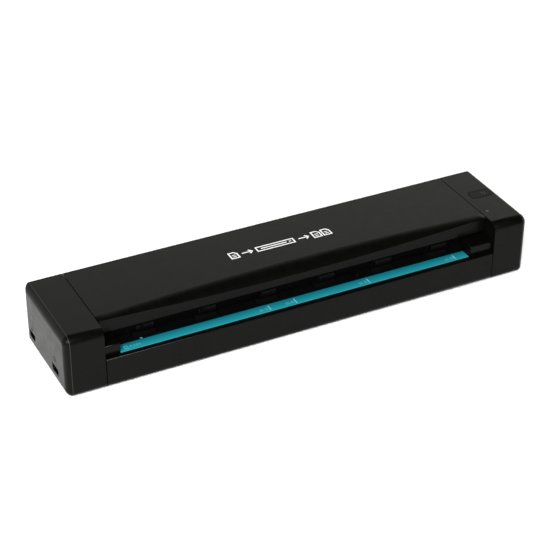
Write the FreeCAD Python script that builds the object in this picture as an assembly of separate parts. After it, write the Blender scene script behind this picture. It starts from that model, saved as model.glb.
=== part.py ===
import FreeCAD, Part
import math
import os

# Portable sheet fed document scanner, built from its separate pieces. Millimetres, +Z up.
# X runs along the bar, -Y is the front with the paper mouth. The origin is on the surface that the
# feet stand on, below the middle of the case.

# --- driving dimensions -------------------------------------------------------------------------
LENGTH = 295.0  # whole bar
DEPTH = 64.2  # front to back
SHELL_HEIGHT = 38.5  # case without its feet
FOOT_HEIGHT = 1.0  # how far the feet hold the case up
CAP_LENGTH = 23.0  # each end cap
WALL = 2.0  # casing walls
SEAM = 0.5  # gap between the cover and the end caps
BOTTOM_R = 3.5  # long lower edges of the case
CAP_TOP_R = 5.0  # front top edge of the end caps
BACK_TOP_R = 1.0  # back top edge
END_RUN = 3.2  # the outer end faces' rounding starts this far from them, with a crease
END_CREASE = 20.0  # slope at that crease, degrees
END_STEPS = 6

FRONT_WALL_H = 18.9  # front wall of the lower housing, above the case's underside
REAR_WALL_H = 20.8  # rear wall beside the exit slot
EXIT_SILL_H = 17.5  # rear wall below the exit slot
EXIT_HALF = 112.0  # half length of the exit slot

LIP_Y = -22.0  # front face of the top cover's lip
LIP_BOTTOM_H = 29.7  # lower edge of the lip
COVER_REAR_H = 22.5  # lower edge of the cover's rear wall
COVER_CORNER_R = 1.0  # front corners of the cover, seen from above
SCOOP_MIDDLE_DROP = 4.15  # how far the lip's top edge dips at the middle
SCOOP_END_DROP = 0.4
SCOOP_MIDDLE_RUN = 9.2  # how far back the scoop reaches at the middle
SCOOP_END_RUN = 4.5
SCOOP_HALF = 118.0

SLOT_LEFT = -114.6  # inner faces of the two cheeks: the mouth's width
SLOT_RIGHT = 109.4
CHEEK_TOP_H = 26.3
CHEEK_BACK_Y = -18.7
CHEEK_UNDERCUT_H = 21.4
STRIP_TOP_H = 19.0
STRIP_THICKNESS = 1.2
STRIP_FRONT_Y = -28.8
STRIP_BACK_Y = -21.4

GUIDE_TOP_H = 18.8  # paper bed
UPPER_GUIDE_H = 20.0  # underside of the upper guide
LOWER_GUIDE_BACK = 27.5
UPPER_GUIDE_BACK = 27.2
GUIDE_THICKNESS = 2.0
UPPER_THICKNESS = 1.5
NIP_H = 19.2  # plane of the sheet
NIP_GAP = 0.2

SHAFT_R = 2.0
DRIVE_ROLLER_R = 6.4
PINCH_AXLE_R = 1.5
PINCH_ROLLER_R = 4.5
RUNNING = 0.05  # radial clearance of running fits
FRONT_NIP_Y = -13.0
REAR_NIP_Y = 18.0
ROLLER_X = (-95.0, -57.0, -19.0, 19.0, 57.0, 95.0)
DRIVE_ROLLER_L = 14.0
PINCH_ROLLER_L = 11.0
PINCH_LIFT = 0.8  # how far a thick sheet lifts the pinch axles
PINCH_SPRING_X = (-38.0, 38.0)
UPPER_SCAN_SPRING_X = (-57.0, 57.0)
SPRING_WIRE = 0.5
AXLE_HOLDER_X = (-105.0, 6.0, 105.0)

HINGE_Y = 29.4
HINGE_H = 24.4
HINGE_PIN_R = 1.25
HINGE_EYE_R = 2.6

SCAN_Y0 = -4.4  # scan modules, front and back faces beside the glass
SCAN_Y1 = 9.4
SCAN_FLANGE = 1.2
GLASS_THICKNESS = 0.85

GEAR_MODULE = 0.5
SHAFT_TEETH = 32
TRANSFER_TEETH = 30
PINION_TEETH = 12
REDUCTION_TEETH = 32
REDUCTION_TILT = 30.0  # the reduction gear's lean from straight above the transfer gear, degrees
GEAR_BACKLASH = 0.12
PRESSURE_ANGLE = 20.0
ADDENDUM = 0.7 * GEAR_MODULE
DEDENDUM = 1.1 * GEAR_MODULE
FLANK_STEPS = 3

CASE_SCREW_R = 1.0
CASE_HEAD_R = 2.3
CASE_HEAD_DEPTH = 1.1  # how deep the heads sit in the underside
COVER_SCREW_R = 0.9
COVER_HEAD_R = 1.8
SMALL_HEAD_R = 1.6
SMALL_HEAD_H = 0.9
SMALL_SCREW_R = 0.7
CAP_SCREW_R = 0.8
CAP_HEAD_R = 1.7
RECESS_HALF = 0.25  # the screws' cross recess
RECESS_DEPTH = 0.5
FOOT_R = 5.0
FOOT_POCKET = 0.5

RIB_COUNT = 6
RIB_PITCH = 36.5
RIB_FIRST_X = -97.3

BUTTON_X = 136.5
BUTTON_Y = 3.8
BUTTON_L = 15.0
BUTTON_W = 8.0
BUTTON_R = 2.2
LIGHT_X = 129.0
LIGHT_Y = -15.5

# --- derived positions --------------------------------------------------------------------------
V = FreeCAD.Vector
X_END = LENGTH / 2
X_CAP = X_END - CAP_LENGTH
X_MID = X_CAP - SEAM
Y_FRONT = -DEPTH / 2
Y_BACK = DEPTH / 2
Y_FRONT_IN = Y_FRONT + WALL
Y_BACK_IN = Y_BACK - WALL
Z_UNDER = FOOT_HEIGHT
Z_FLOOR = FOOT_HEIGHT + WALL
Z_TOP = FOOT_HEIGHT + SHELL_HEIGHT
Z_CEILING = Z_TOP - WALL
FRONT_WALL_Z = Z_UNDER + FRONT_WALL_H
LIP_Z = Z_UNDER + LIP_BOTTOM_H
COVER_REAR_Z = Z_UNDER + COVER_REAR_H
GUIDE_Z = Z_UNDER + GUIDE_TOP_H
UPPER_Z = Z_UNDER + UPPER_GUIDE_H
NIP_Z = Z_UNDER + NIP_H
STRIP_Z = Z_UNDER + STRIP_TOP_H
CHEEK_Z = Z_UNDER + CHEEK_TOP_H
SHAFT_Z = NIP_Z - NIP_GAP / 2 - DRIVE_ROLLER_R
PINCH_Z = NIP_Z + NIP_GAP / 2 + PINCH_ROLLER_R
HINGE_Z = Z_UNDER + HINGE_H

FRAME_T = 2.5  # side frames, which close the end caps
FRAME_GAP = 0.15
FRAME_OUT = X_CAP + FRAME_T
BUSH_R = 3.5
LAYER_A = (FRAME_OUT + 0.6, FRAME_OUT + 3.1)  # shaft gears, transfer gear, small reduction wheel
LAYER_B = (FRAME_OUT + 3.6, FRAME_OUT + 5.6)  # large reduction wheel and motor pinion
MOTOR_FACE = FRAME_OUT + 6.8
MOTOR_PLATE_T = 0.8
MOTOR_R = 10.0
MOTOR_L = 10.4
GEAR_PIN_R = 1.0
MOTOR_SHAFT_R = 0.75
BRACKET_POSTS = ((26.9, 6.2), (19.0, 31.2))  # (y, z)

TRANSFER_YZ = ((FRONT_NIP_Y + REAR_NIP_Y) / 2, SHAFT_Z)
_mesh_small = GEAR_MODULE * (TRANSFER_TEETH + PINION_TEETH) / 2
_mesh_large = GEAR_MODULE * (REDUCTION_TEETH + PINION_TEETH) / 2
_lean = math.radians(REDUCTION_TILT)
REDUCTION_YZ = (
    TRANSFER_YZ[0] + _mesh_small * math.sin(_lean),
    TRANSFER_YZ[1] + _mesh_small * math.cos(_lean),
)
MOTOR_YZ = (REDUCTION_YZ[0] + _mesh_large, REDUCTION_YZ[1])

BOARD_Z = 6.5
BOARD_T = 1.6
BOARD_TOP = BOARD_Z + BOARD_T
CASE_SCREW_Y = (-25.5, 25.5)
TAB_X = 118.0  # case screws into the side frames' tabs
BOSS_X = 76.0  # case screws into the paper bed's bosses
COVER_POST_X = (-76.0, 0.0, 76.0)
COVER_POST_Y = (-8.0, 13.0)
CAP_POSTS = ((-24.5, 23.0), (24.5, 34.6))  # (y, z) of the posts that take the end caps' screws
CAP_POST_R = 2.2
BOARD_POSTS = (-105.0, -70.0, -36.0)
BOARD_POST_Y = 2.5
SCAN_REST_X = (-21.0, 39.0, 99.0)  # ribs under the lower scan module
SCAN_BOTTOM_Z = 10.0
SCAN_X0 = SLOT_LEFT + 1.5
SCAN_X1 = SLOT_RIGHT - 1.5
UPPER_SCAN_LEFT = -121.5
CABLE_GAP_Y = (22.4, 26.6)  # where the upper module's flat cable passes both guides

FRONT_PORT_YZ = (-14.5, 10.0)
REAR_PORT_YZ = (21.7, 10.1)
PORT_DEEP = 8.5
PORT_SHEET = 0.35
SWITCH_BOARD_Z = 33.4
SWITCH_BOARD_T = 1.2
SWITCH_TOP = SWITCH_BOARD_Z + SWITCH_BOARD_T + 0.9
SWITCH_POSTS = ((140.5, -9.0), (140.5, 13.0))
UPPER_SCAN_TOP = UPPER_Z + 8.5
FRONT_SPRING_TOP = 35.4  # the cover is lower above the front nip because of the scoop
LATCH_Y = -12.0
LATCH_Z = 33.0
LATCH_STEM_R = 1.4
LATCH_DOME_R = 1.6
LEVER_X = 38.0
LEVER_Y = -21.4
LEVER_Z = 12.5


# --- helpers ------------------------------------------------------------------------------------
def box(x0, x1, y0, y1, z0, z1):
    return Part.makeBox(x1 - x0, y1 - y0, z1 - z0, V(x0, y0, z0))


def rod_x(x0, x1, y, z, radius):
    return Part.makeCylinder(radius, x1 - x0, V(x0, y, z), V(1, 0, 0))


def rod_z(x, y, z0, z1, radius):
    return Part.makeCylinder(radius, z1 - z0, V(x, y, z0), V(0, 0, 1))


def tube_x(x0, x1, y, z, outer, inner):
    return rod_x(x0, x1, y, z, outer).cut(rod_x(x0 - 1, x1 + 1, y, z, inner))


def tube_z(x, y, z0, z1, outer, inner):
    return rod_z(x, y, z0, z1, outer).cut(rod_z(x, y, z0 - 1, z1 + 1, inner))


def fused(shapes):
    whole = shapes[0]
    for shape in shapes[1:]:
        whole = whole.fuse(shape)
    return whole.removeSplitter()


def cut_all(shape, cutters):
    for cutter in cutters:
        shape = shape.cut(cutter)
    return shape


def rounded_wire(points):
    """A closed wire through points of (vector, corner radius), with an arc at each rounded corner."""
    ends = []
    arcs = []
    count = len(points)
    for i, (corner, radius) in enumerate(points):
        if radius <= 0:
            ends.append((corner, corner))
            arcs.append(None)
            continue
        back = (points[i - 1][0] - corner).normalize()
        ahead = (points[(i + 1) % count][0] - corner).normalize()
        half = back.getAngle(ahead) / 2
        reach = radius / math.tan(half)
        middle = (back + ahead).normalize()
        start = corner + back * reach
        finish = corner + ahead * reach
        top = corner + middle * (radius / math.sin(half) - radius)
        ends.append((start, finish))
        arcs.append(Part.Arc(start, top, finish).toShape())
    edges = []
    for i in range(count):
        if arcs[i]:
            edges.append(arcs[i])
        here = ends[i][1]
        there = ends[(i + 1) % count][0]
        if here.distanceToPoint(there) > 1e-6:
            edges.append(Part.LineSegment(here, there).toShape())
    return Part.Wire(edges)


def prism_x(corners, x0, x1):
    """A bar along X whose section is a list of (y, z, corner radius)."""
    wire = rounded_wire([(V(x0, y, z), r) for y, z, r in corners])
    return Part.Face(wire).extrude(V(x1 - x0, 0, 0))


def plate_z(x0, x1, y0, y1, z0, z1, radius):
    """A flat plate with rounded corners, seen from above."""
    corners = [(x0, y0), (x1, y0), (x1, y1), (x0, y1)]
    wire = rounded_wire([(V(x, y, z0), radius) for x, y in corners])
    return Part.Face(wire).extrude(V(0, 0, z1 - z0))


def mirrored(shape, side):
    """The shape itself for side 1, or its mirror image on the left for side -1."""
    if side > 0:
        return shape
    return shape.mirror(V(0, 0, 0), V(1, 0, 0))


def screw_z(x, y, z_head, length, radius, head_r, head_h):
    """A screw driven upwards: its head is at z_head and its shank goes up."""
    head = rod_z(x, y, z_head, z_head + head_h, head_r)
    reach = head_r * 0.6
    slots = [(reach, RECESS_HALF), (RECESS_HALF, reach)]
    deep = z_head + RECESS_DEPTH
    head = cut_all(head, [box(x - a, x + a, y - b, y + b, z_head - 1, deep) for a, b in slots])
    shank = rod_z(x, y, z_head + head_h, z_head + head_h + length, radius)
    return head.fuse(shank)


def gear_x(x0, x1, centre, teeth, phase, bore):
    """An involute spur gear along X. phase is the angle of one tooth's centre, in the YZ plane."""
    pitch_r = GEAR_MODULE * teeth / 2
    base_r = pitch_r * math.cos(math.radians(PRESSURE_ANGLE))
    tip_r = pitch_r + ADDENDUM
    root_r = pitch_r - DEDENDUM
    half_at_pitch = (math.pi * GEAR_MODULE / 2 - GEAR_BACKLASH) / (2 * pitch_r)

    def roll(radius):
        if radius <= base_r:
            return 0.0
        turn = math.sqrt((radius / base_r) ** 2 - 1)
        return turn - math.atan(turn)

    low_r = max(base_r, root_r)
    radii = [low_r + (tip_r - low_r) * i / FLANK_STEPS for i in range(FLANK_STEPS + 1)]
    if root_r < base_r:
        radii.insert(0, root_r)
    points = []
    for tooth in range(teeth):
        middle = phase + 2 * math.pi * tooth / teeth
        flank = [(r, half_at_pitch + roll(pitch_r) - roll(r)) for r in radii]
        points += [(r, middle - a) for r, a in flank]
        points += [(r, middle + a) for r, a in reversed(flank)]
    outline = [V(x0, centre[0] + r * math.cos(a), centre[1] + r * math.sin(a)) for r, a in points]
    outline.append(outline[0])
    body = Part.Face(Part.makePolygon(outline)).extrude(V(x1 - x0, 0, 0))
    return body.cut(rod_x(x0 - 1, x1 + 1, centre[0], centre[1], bore))


def meshed_phase(centre_a, teeth_a, phase_a, centre_b, teeth_b):
    """The phase that puts a gap of gear b where gear a's tooth comes."""
    line = math.atan2(centre_b[1] - centre_a[1], centre_b[0] - centre_a[0])
    return line + math.pi - (phase_a - line) * teeth_a / teeth_b - math.pi / teeth_b


# --- casings ------------------------------------------------------------------------------------
def foot_places():
    return [(x, y) for x in (-105.0, 105.0) for y in (-21.0, 21.0)]


def case_screw_places():
    return [(x, y) for x in (-TAB_X, -BOSS_X, BOSS_X, TAB_X) for y in CASE_SCREW_Y]


def lower_housing():
    rear_z = Z_UNDER + REAR_WALL_H
    section = [
        (Y_FRONT, Z_UNDER, BOTTOM_R),
        (Y_BACK, Z_UNDER, BOTTOM_R),
        (Y_BACK, rear_z, 0.5),
        (Y_BACK_IN, rear_z, 0.3),
        (Y_BACK_IN, Z_FLOOR, 1.5),
        (Y_FRONT_IN, Z_FLOOR, 1.5),
        (Y_FRONT_IN, FRONT_WALL_Z, 0.3),
        (Y_FRONT, FRONT_WALL_Z, 0.7),
    ]
    tub = prism_x(section, -X_MID, X_MID)
    tub = tub.cut(box(-EXIT_HALF, EXIT_HALF, Y_BACK_IN - 1, Y_BACK + 1, Z_UNDER + EXIT_SILL_H, rear_z + 1))
    rooted = Z_FLOOR - 0.5
    ribs = [box(x, x + 2, SCAN_Y0 + 0.4, SCAN_Y1 - 0.4, rooted, SCAN_BOTTOM_Z) for x in SCAN_REST_X]
    posts = [rod_z(x, BOARD_POST_Y, rooted, BOARD_Z, 2.4) for x in BOARD_POSTS]
    tub = fused([tub] + ribs + posts)
    holes = [rod_z(x, y, 0, Z_FLOOR + 1, CASE_SCREW_R + 0.3) for x, y in case_screw_places()]
    holes += [rod_z(x, y, 0, Z_UNDER + CASE_HEAD_DEPTH, CASE_HEAD_R + 0.3) for x, y in case_screw_places()]
    holes += [rod_z(x, y, 0, Z_UNDER + FOOT_POCKET, FOOT_R + 0.2) for x, y in foot_places()]
    holes += [rod_z(x, BOARD_POST_Y, BOARD_Z - 3.2, BOARD_Z + 1, SMALL_SCREW_R + 0.05) for x in BOARD_POSTS]
    return cut_all(tub, holes)


def scoop_cutter():
    """What the long shallow scoop takes off the cover above its lip: deep at the middle and slight at the
    ends. Each section is an arc that leaves the top face smoothly and ends at the lip's top edge."""
    wires = []
    over = 2.0  # how far the cutter stands out of the cover
    reach = X_MID + over + 1
    half_count = 4
    for i in range(-half_count, half_count + 1):
        x = reach * i / half_count
        share = max(0.0, 1 - (x / SCOOP_HALF) ** 2)
        drop = SCOOP_END_DROP + (SCOOP_MIDDLE_DROP - SCOOP_END_DROP) * share
        run = SCOOP_END_RUN + (SCOOP_MIDDLE_RUN - SCOOP_END_RUN) * share
        back = LIP_Y + run
        low = Z_TOP - drop
        turn = 2 * math.atan(drop / run)
        arc_r = run / math.sin(turn)
        start = V(x, back, Z_TOP)
        middle = V(x, back - arc_r * math.sin(turn / 2), Z_TOP - arc_r * (1 - math.cos(turn / 2)))
        finish = V(x, LIP_Y, low)
        ahead = V(x, LIP_Y - over, low - 1.8)
        above = V(x, LIP_Y - over, Z_TOP + over)
        top = V(x, back, Z_TOP + over)
        edges = [Part.Arc(start, middle, finish).toShape()]
        corners = [finish, ahead, above, top, start]
        edges += [Part.LineSegment(a, b).toShape() for a, b in zip(corners, corners[1:])]
        wires.append(Part.Wire(edges))
    return Part.makeLoft(wires, True, False)


def cover_post_places():
    return [(x, y) for x in COVER_POST_X for y in COVER_POST_Y]


def top_cover():
    section = [
        (LIP_Y, LIP_Z, 0.2),
        (LIP_Y + WALL, LIP_Z, 0.3),
        (LIP_Y + WALL, Z_CEILING - SCOOP_MIDDLE_DROP, 0),
        (LIP_Y + WALL + SCOOP_MIDDLE_RUN, Z_CEILING, 0),
        (Y_BACK_IN, Z_CEILING, 1.0),
        (Y_BACK_IN, COVER_REAR_Z, 0.3),
        (Y_BACK, COVER_REAR_Z, 0.4),
        (Y_BACK, Z_TOP, BACK_TOP_R),
        (LIP_Y, Z_TOP, 0),
    ]
    shell = prism_x(section, -X_MID, X_MID)
    walls = []
    for x0, x1 in ((-X_MID, -X_MID + WALL), (X_MID - WALL, X_MID)):
        side = [
            (LIP_Y, LIP_Z, 0.2),
            (Y_BACK, LIP_Z, 0),
            (Y_BACK, Z_TOP, BACK_TOP_R),
            (LIP_Y, Z_TOP, 0),
        ]
        walls.append(prism_x(side, x0, x1))
    post_z = UPPER_Z + UPPER_THICKNESS
    posts = [rod_z(x, y, post_z, Z_CEILING + 1, 2.2) for x, y in cover_post_places()]
    eye_ends = ((-X_MID, -TAB_X), (TAB_X, X_MID))
    eyes = [rod_x(x0, x1, HINGE_Y, HINGE_Z, HINGE_EYE_R) for x0, x1 in eye_ends]
    seats = [rod_z(x, FRONT_NIP_Y, FRONT_SPRING_TOP, Z_CEILING + 0.3, 2.6) for x in PINCH_SPRING_X]
    shell = fused([shell] + walls + posts + eyes + seats)
    # the front corners are round seen from above
    plan = plate_z(-X_MID, X_MID, LIP_Y, Y_BACK + 20, 0, Z_TOP + 5, COVER_CORNER_R)
    shell = shell.common(plan)
    shell = shell.cut(scoop_cutter())
    holes = [rod_z(x, y, UPPER_Z, UPPER_Z + 12, COVER_SCREW_R) for x, y in cover_post_places()]
    holes.append(rod_x(-X_MID - 1, X_MID + 1, HINGE_Y, HINGE_Z, HINGE_PIN_R + RUNNING))
    dimple_r = LATCH_DOME_R + 0.2
    dimple_depth = 0.6
    for side in (-1, 1):
        x = side * (X_MID + dimple_r - dimple_depth)
        holes.append(Part.makeSphere(dimple_r, V(x, LATCH_Y, LATCH_Z)))
    return cut_all(shell, holes)


def cap_section(inset):
    """The end caps' outline, or the same outline moved inwards by inset."""
    y0, y1 = Y_FRONT + inset, Y_BACK - inset
    z0, z1 = Z_UNDER + inset, Z_TOP - inset
    return [
        (y0, z0, max(BOTTOM_R - inset, 0.5)),
        (y1, z0, max(BOTTOM_R - inset, 0.5)),
        (y1, z1, max(BACK_TOP_R - inset, 0.5)),
        (y0, z1, max(CAP_TOP_R - inset, 0.5)),
    ]


def cap_block():
    """The right cap's outer shape. The rounding of its end face starts at a slight crease."""
    bend_r = END_RUN / (1 - math.sin(math.radians(END_CREASE)))
    depth = bend_r * math.cos(math.radians(END_CREASE))
    wires = []
    for i in range(END_STEPS + 1):
        tilt = math.radians(END_CREASE + (90 - END_CREASE) * i / END_STEPS)
        x = X_END - bend_r * (1 - math.sin(tilt))
        inset = depth - bend_r * math.cos(tilt)
        wires.append(rounded_wire([(V(x, y, z), r) for y, z, r in cap_section(inset)]))
    rounding = Part.makeLoft(wires, True, False)
    return prism_x(cap_section(0), X_CAP, X_END - END_RUN).fuse(rounding).removeSplitter()


def end_cap(side):
    outer = cap_block()
    hollow = prism_x(cap_section(WALL), X_CAP - 1, X_END - WALL)
    shell = outer.cut(hollow)
    hinge = rod_x(X_CAP, X_CAP + 8, HINGE_Y, HINGE_Z, HINGE_EYE_R)
    posts = [rod_x(FRAME_OUT, X_END - WALL + 0.5, y, z, CAP_POST_R) for y, z in CAP_POSTS]
    if side > 0:
        low = SWITCH_BOARD_Z + SWITCH_BOARD_T
        posts += [rod_z(x, y, low, Z_CEILING + 0.5, 1.8) for x, y in SWITCH_POSTS]
    shell = fused([shell, hinge] + posts)
    holes = [rod_x(X_CAP - 1, X_CAP + 7, HINGE_Y, HINGE_Z, HINGE_PIN_R)]
    holes += [rod_x(FRAME_OUT - 1, FRAME_OUT + 8, y, z, CAP_SCREW_R) for y, z in CAP_POSTS]
    if side > 0:
        gap = 0.2
        holes.append(plate_z(
            BUTTON_X - BUTTON_L / 2 - gap, BUTTON_X + BUTTON_L / 2 + gap,
            BUTTON_Y - BUTTON_W / 2 - gap, BUTTON_Y + BUTTON_W / 2 + gap,
            Z_CEILING - 1, Z_TOP + 1, BUTTON_R + gap))
        holes.append(rod_z(LIGHT_X, LIGHT_Y, Z_CEILING - 1, Z_TOP + 1, 0.9))
        holes += [rod_z(x, y, SWITCH_BOARD_Z, Z_CEILING - 0.6, SMALL_SCREW_R) for x, y in SWITCH_POSTS]
    shell = cut_all(shell, holes)
    if side < 0:
        shell = mirrored(shell, side)
        for y, z, width, height in port_mouths():
            mouth = [
                (y - width / 2, z - height / 2, 0.9),
                (y + width / 2, z - height / 2, 0.9),
                (y + width / 2, z + height / 2, 0.5),
                (y - width / 2, z + height / 2, 0.5),
            ]
            shell = shell.cut(prism_x(mouth, -X_END - 1, -X_END + WALL + 1))
    return shell


def port_mouths():
    return [(*FRONT_PORT_YZ, 9.6, 4.4), (*REAR_PORT_YZ, 8.6, 4.2)]


def side_frame(side):
    plate = prism_x(cap_section(WALL + FRAME_GAP), X_CAP, FRAME_OUT)
    tabs = [box(TAB_X - 5, X_CAP + 0.5, y - 3, y + 3, Z_FLOOR, Z_FLOOR + 3.5) for y in CASE_SCREW_Y]
    frame = fused([plate] + tabs)
    holes = [box(X_CAP - 1, FRAME_OUT + 1, HINGE_Y - HINGE_EYE_R - 0.3, Y_BACK, HINGE_Z - 3, HINGE_Z + 3)]
    holes += [rod_z(TAB_X, y, Z_FLOOR - 1, Z_FLOOR + 5, 1.0) for y in CASE_SCREW_Y]
    holes += [rod_x(X_CAP - 1, FRAME_OUT + 1, y, SHAFT_Z, BUSH_R) for y in (FRONT_NIP_Y, REAR_NIP_Y)]
    holes += [rod_x(X_CAP - 1, FRAME_OUT + 1, y, z, CAP_SCREW_R + 0.2) for y, z in CAP_POSTS]
    holes += [rod_x(X_CAP - 1, X_CAP + 1.2, y, z, CAP_HEAD_R + 0.2) for y, z in CAP_POSTS]
    holes.append(rod_x(X_CAP - 1, FRAME_OUT + 1, LATCH_Y, LATCH_Z, LATCH_STEM_R + 0.3))
    if side > 0:
        gear_axes = (TRANSFER_YZ, REDUCTION_YZ)
        holes += [rod_x(X_CAP + 0.4, FRAME_OUT + 1, y, z, GEAR_PIN_R) for y, z in gear_axes]
    frame = mirrored(cut_all(frame, holes), side)
    if side < 0:
        frame = frame.cut(box(-FRAME_OUT - 1, -X_CAP + 1, -5.7, 10.7, BOARD_Z - 0.6, BOARD_TOP + 1.7))
    return frame


def entry_guide_strip():
    section = [
        (STRIP_FRONT_Y, STRIP_Z - STRIP_THICKNESS, 0),
        (STRIP_BACK_Y, STRIP_Z - STRIP_THICKNESS, 0),
        (STRIP_BACK_Y, STRIP_Z, 0.5),
        (STRIP_FRONT_Y, STRIP_Z, 0.5),
    ]
    return prism_x(section, SLOT_LEFT + 0.2, SLOT_RIGHT - 0.2)


def slot_cheek(x0, x1):
    """A block that ends the mouth: rounded towards the slot, undercut above the front wall."""
    bottom = GUIDE_Z + 0.1
    section = [
        (Y_FRONT_IN + 1.4, bottom, 0),
        (CHEEK_BACK_Y, bottom, 0),
        (CHEEK_BACK_Y, CHEEK_Z, 0.8),
        (Y_FRONT_IN + 0.2, CHEEK_Z, 0.9),
        (Y_FRONT_IN + 0.2, Z_UNDER + CHEEK_UNDERCUT_H, 0.3),
        (Y_FRONT_IN + 1.4, Z_UNDER + CHEEK_UNDERCUT_H, 0),
    ]
    block = prism_x(section, x0, x1)
    inner_x = x1 if abs(x1) < abs(x0) else x0
    tall = [e for e in block.Edges if abs(e.BoundBox.XMin - inner_x) < 1e-4 and e.BoundBox.XLength < 1e-4
            and e.BoundBox.ZMax > CHEEK_Z - 1.2 and e.BoundBox.YMin < CHEEK_BACK_Y - 1]
    return block.makeFillet(0.7, tall)


def rubber_feet():
    feet = []
    for x, y in foot_places():
        foot = rod_z(x, y, 0, Z_UNDER + FOOT_POCKET, FOOT_R)
        rim = [e for e in foot.Edges if e.BoundBox.ZMax < 1e-4]
        feet.append(foot.makeFillet(0.4, rim))
    return Part.makeCompound(feet)


def underside_label():
    return plate_z(-32, 32, -11, 11, Z_UNDER - 0.15, Z_UNDER, 2.0)


def case_screws():
    places = case_screw_places()
    screws = [screw_z(x, y, Z_UNDER + 0.2, 4.2, CASE_SCREW_R, CASE_HEAD_R, 0.9) for x, y in places]
    return Part.makeCompound(screws)


def frame_screws():
    """Screws along X that hold each end cap on its side frame."""
    screws = []
    for side in (-1, 1):
        for y, z in CAP_POSTS:
            head = rod_x(X_CAP + 0.2, X_CAP + 1.2, y, z, CAP_HEAD_R)
            shank = rod_x(X_CAP + 1.2, X_CAP + 9.0, y, z, CAP_SCREW_R)
            screws.append(mirrored(head.fuse(shank), side))
    return Part.makeCompound(screws)


# --- paper path ---------------------------------------------------------------------------------
def lower_paper_guide():
    low = GUIDE_Z - GUIDE_THICKNESS
    front_top = STRIP_Z - STRIP_THICKNESS
    section = [
        (Y_FRONT_IN + 0.2, front_top - 1.6, 0),
        (-19.4, front_top - 1.6, 0),
        (-19.4, low, 0),
        (LOWER_GUIDE_BACK, low, 0),
        (LOWER_GUIDE_BACK, GUIDE_Z, 0.8),
        (STRIP_BACK_Y + 0.2, GUIDE_Z, 0.4),
        (STRIP_BACK_Y + 0.2, front_top, 0),
        (Y_FRONT_IN + 0.2, front_top, 0),
    ]
    plate = prism_x(section, -X_MID + 0.15, X_MID - 0.15)
    bosses = [rod_z(x, y, Z_FLOOR, front_top - 1, 2.6) for x in (-BOSS_X, BOSS_X) for y in CASE_SCREW_Y]
    plate = fused([plate] + bosses)
    holes = [box(SCAN_X0 - 0.3, SCAN_X1 + 0.3, SCAN_Y0 - 0.3, SCAN_Y1 + 0.3, 0, GUIDE_Z + 1)]
    half = DRIVE_ROLLER_L / 2 + 0.8
    for y in (FRONT_NIP_Y, REAR_NIP_Y):
        holes += [box(x - half, x + half, y - 5.6, y + 5.6, 0, GUIDE_Z + 1) for x in ROLLER_X]
    holes += [rod_z(x, y, 0, Z_FLOOR + 5.5, 1.0) for x in (-BOSS_X, BOSS_X) for y in CASE_SCREW_Y]
    holes.append(box(LEVER_X - 1.4, LEVER_X + 1.4, -20.9, -11.5, 0, GUIDE_Z + 1))
    holes.append(box(-X_MID, SLOT_LEFT - 0.6, *CABLE_GAP_Y, low - 1, GUIDE_Z + 1))
    eye_ends = ((-X_MID, -TAB_X + 0.4), (TAB_X - 0.4, X_MID))
    holes += [box(x0, x1, HINGE_Y - 3.2, Y_BACK, low - 1, GUIDE_Z + 1) for x0, x1 in eye_ends]
    return cut_all(plate, holes)


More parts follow.
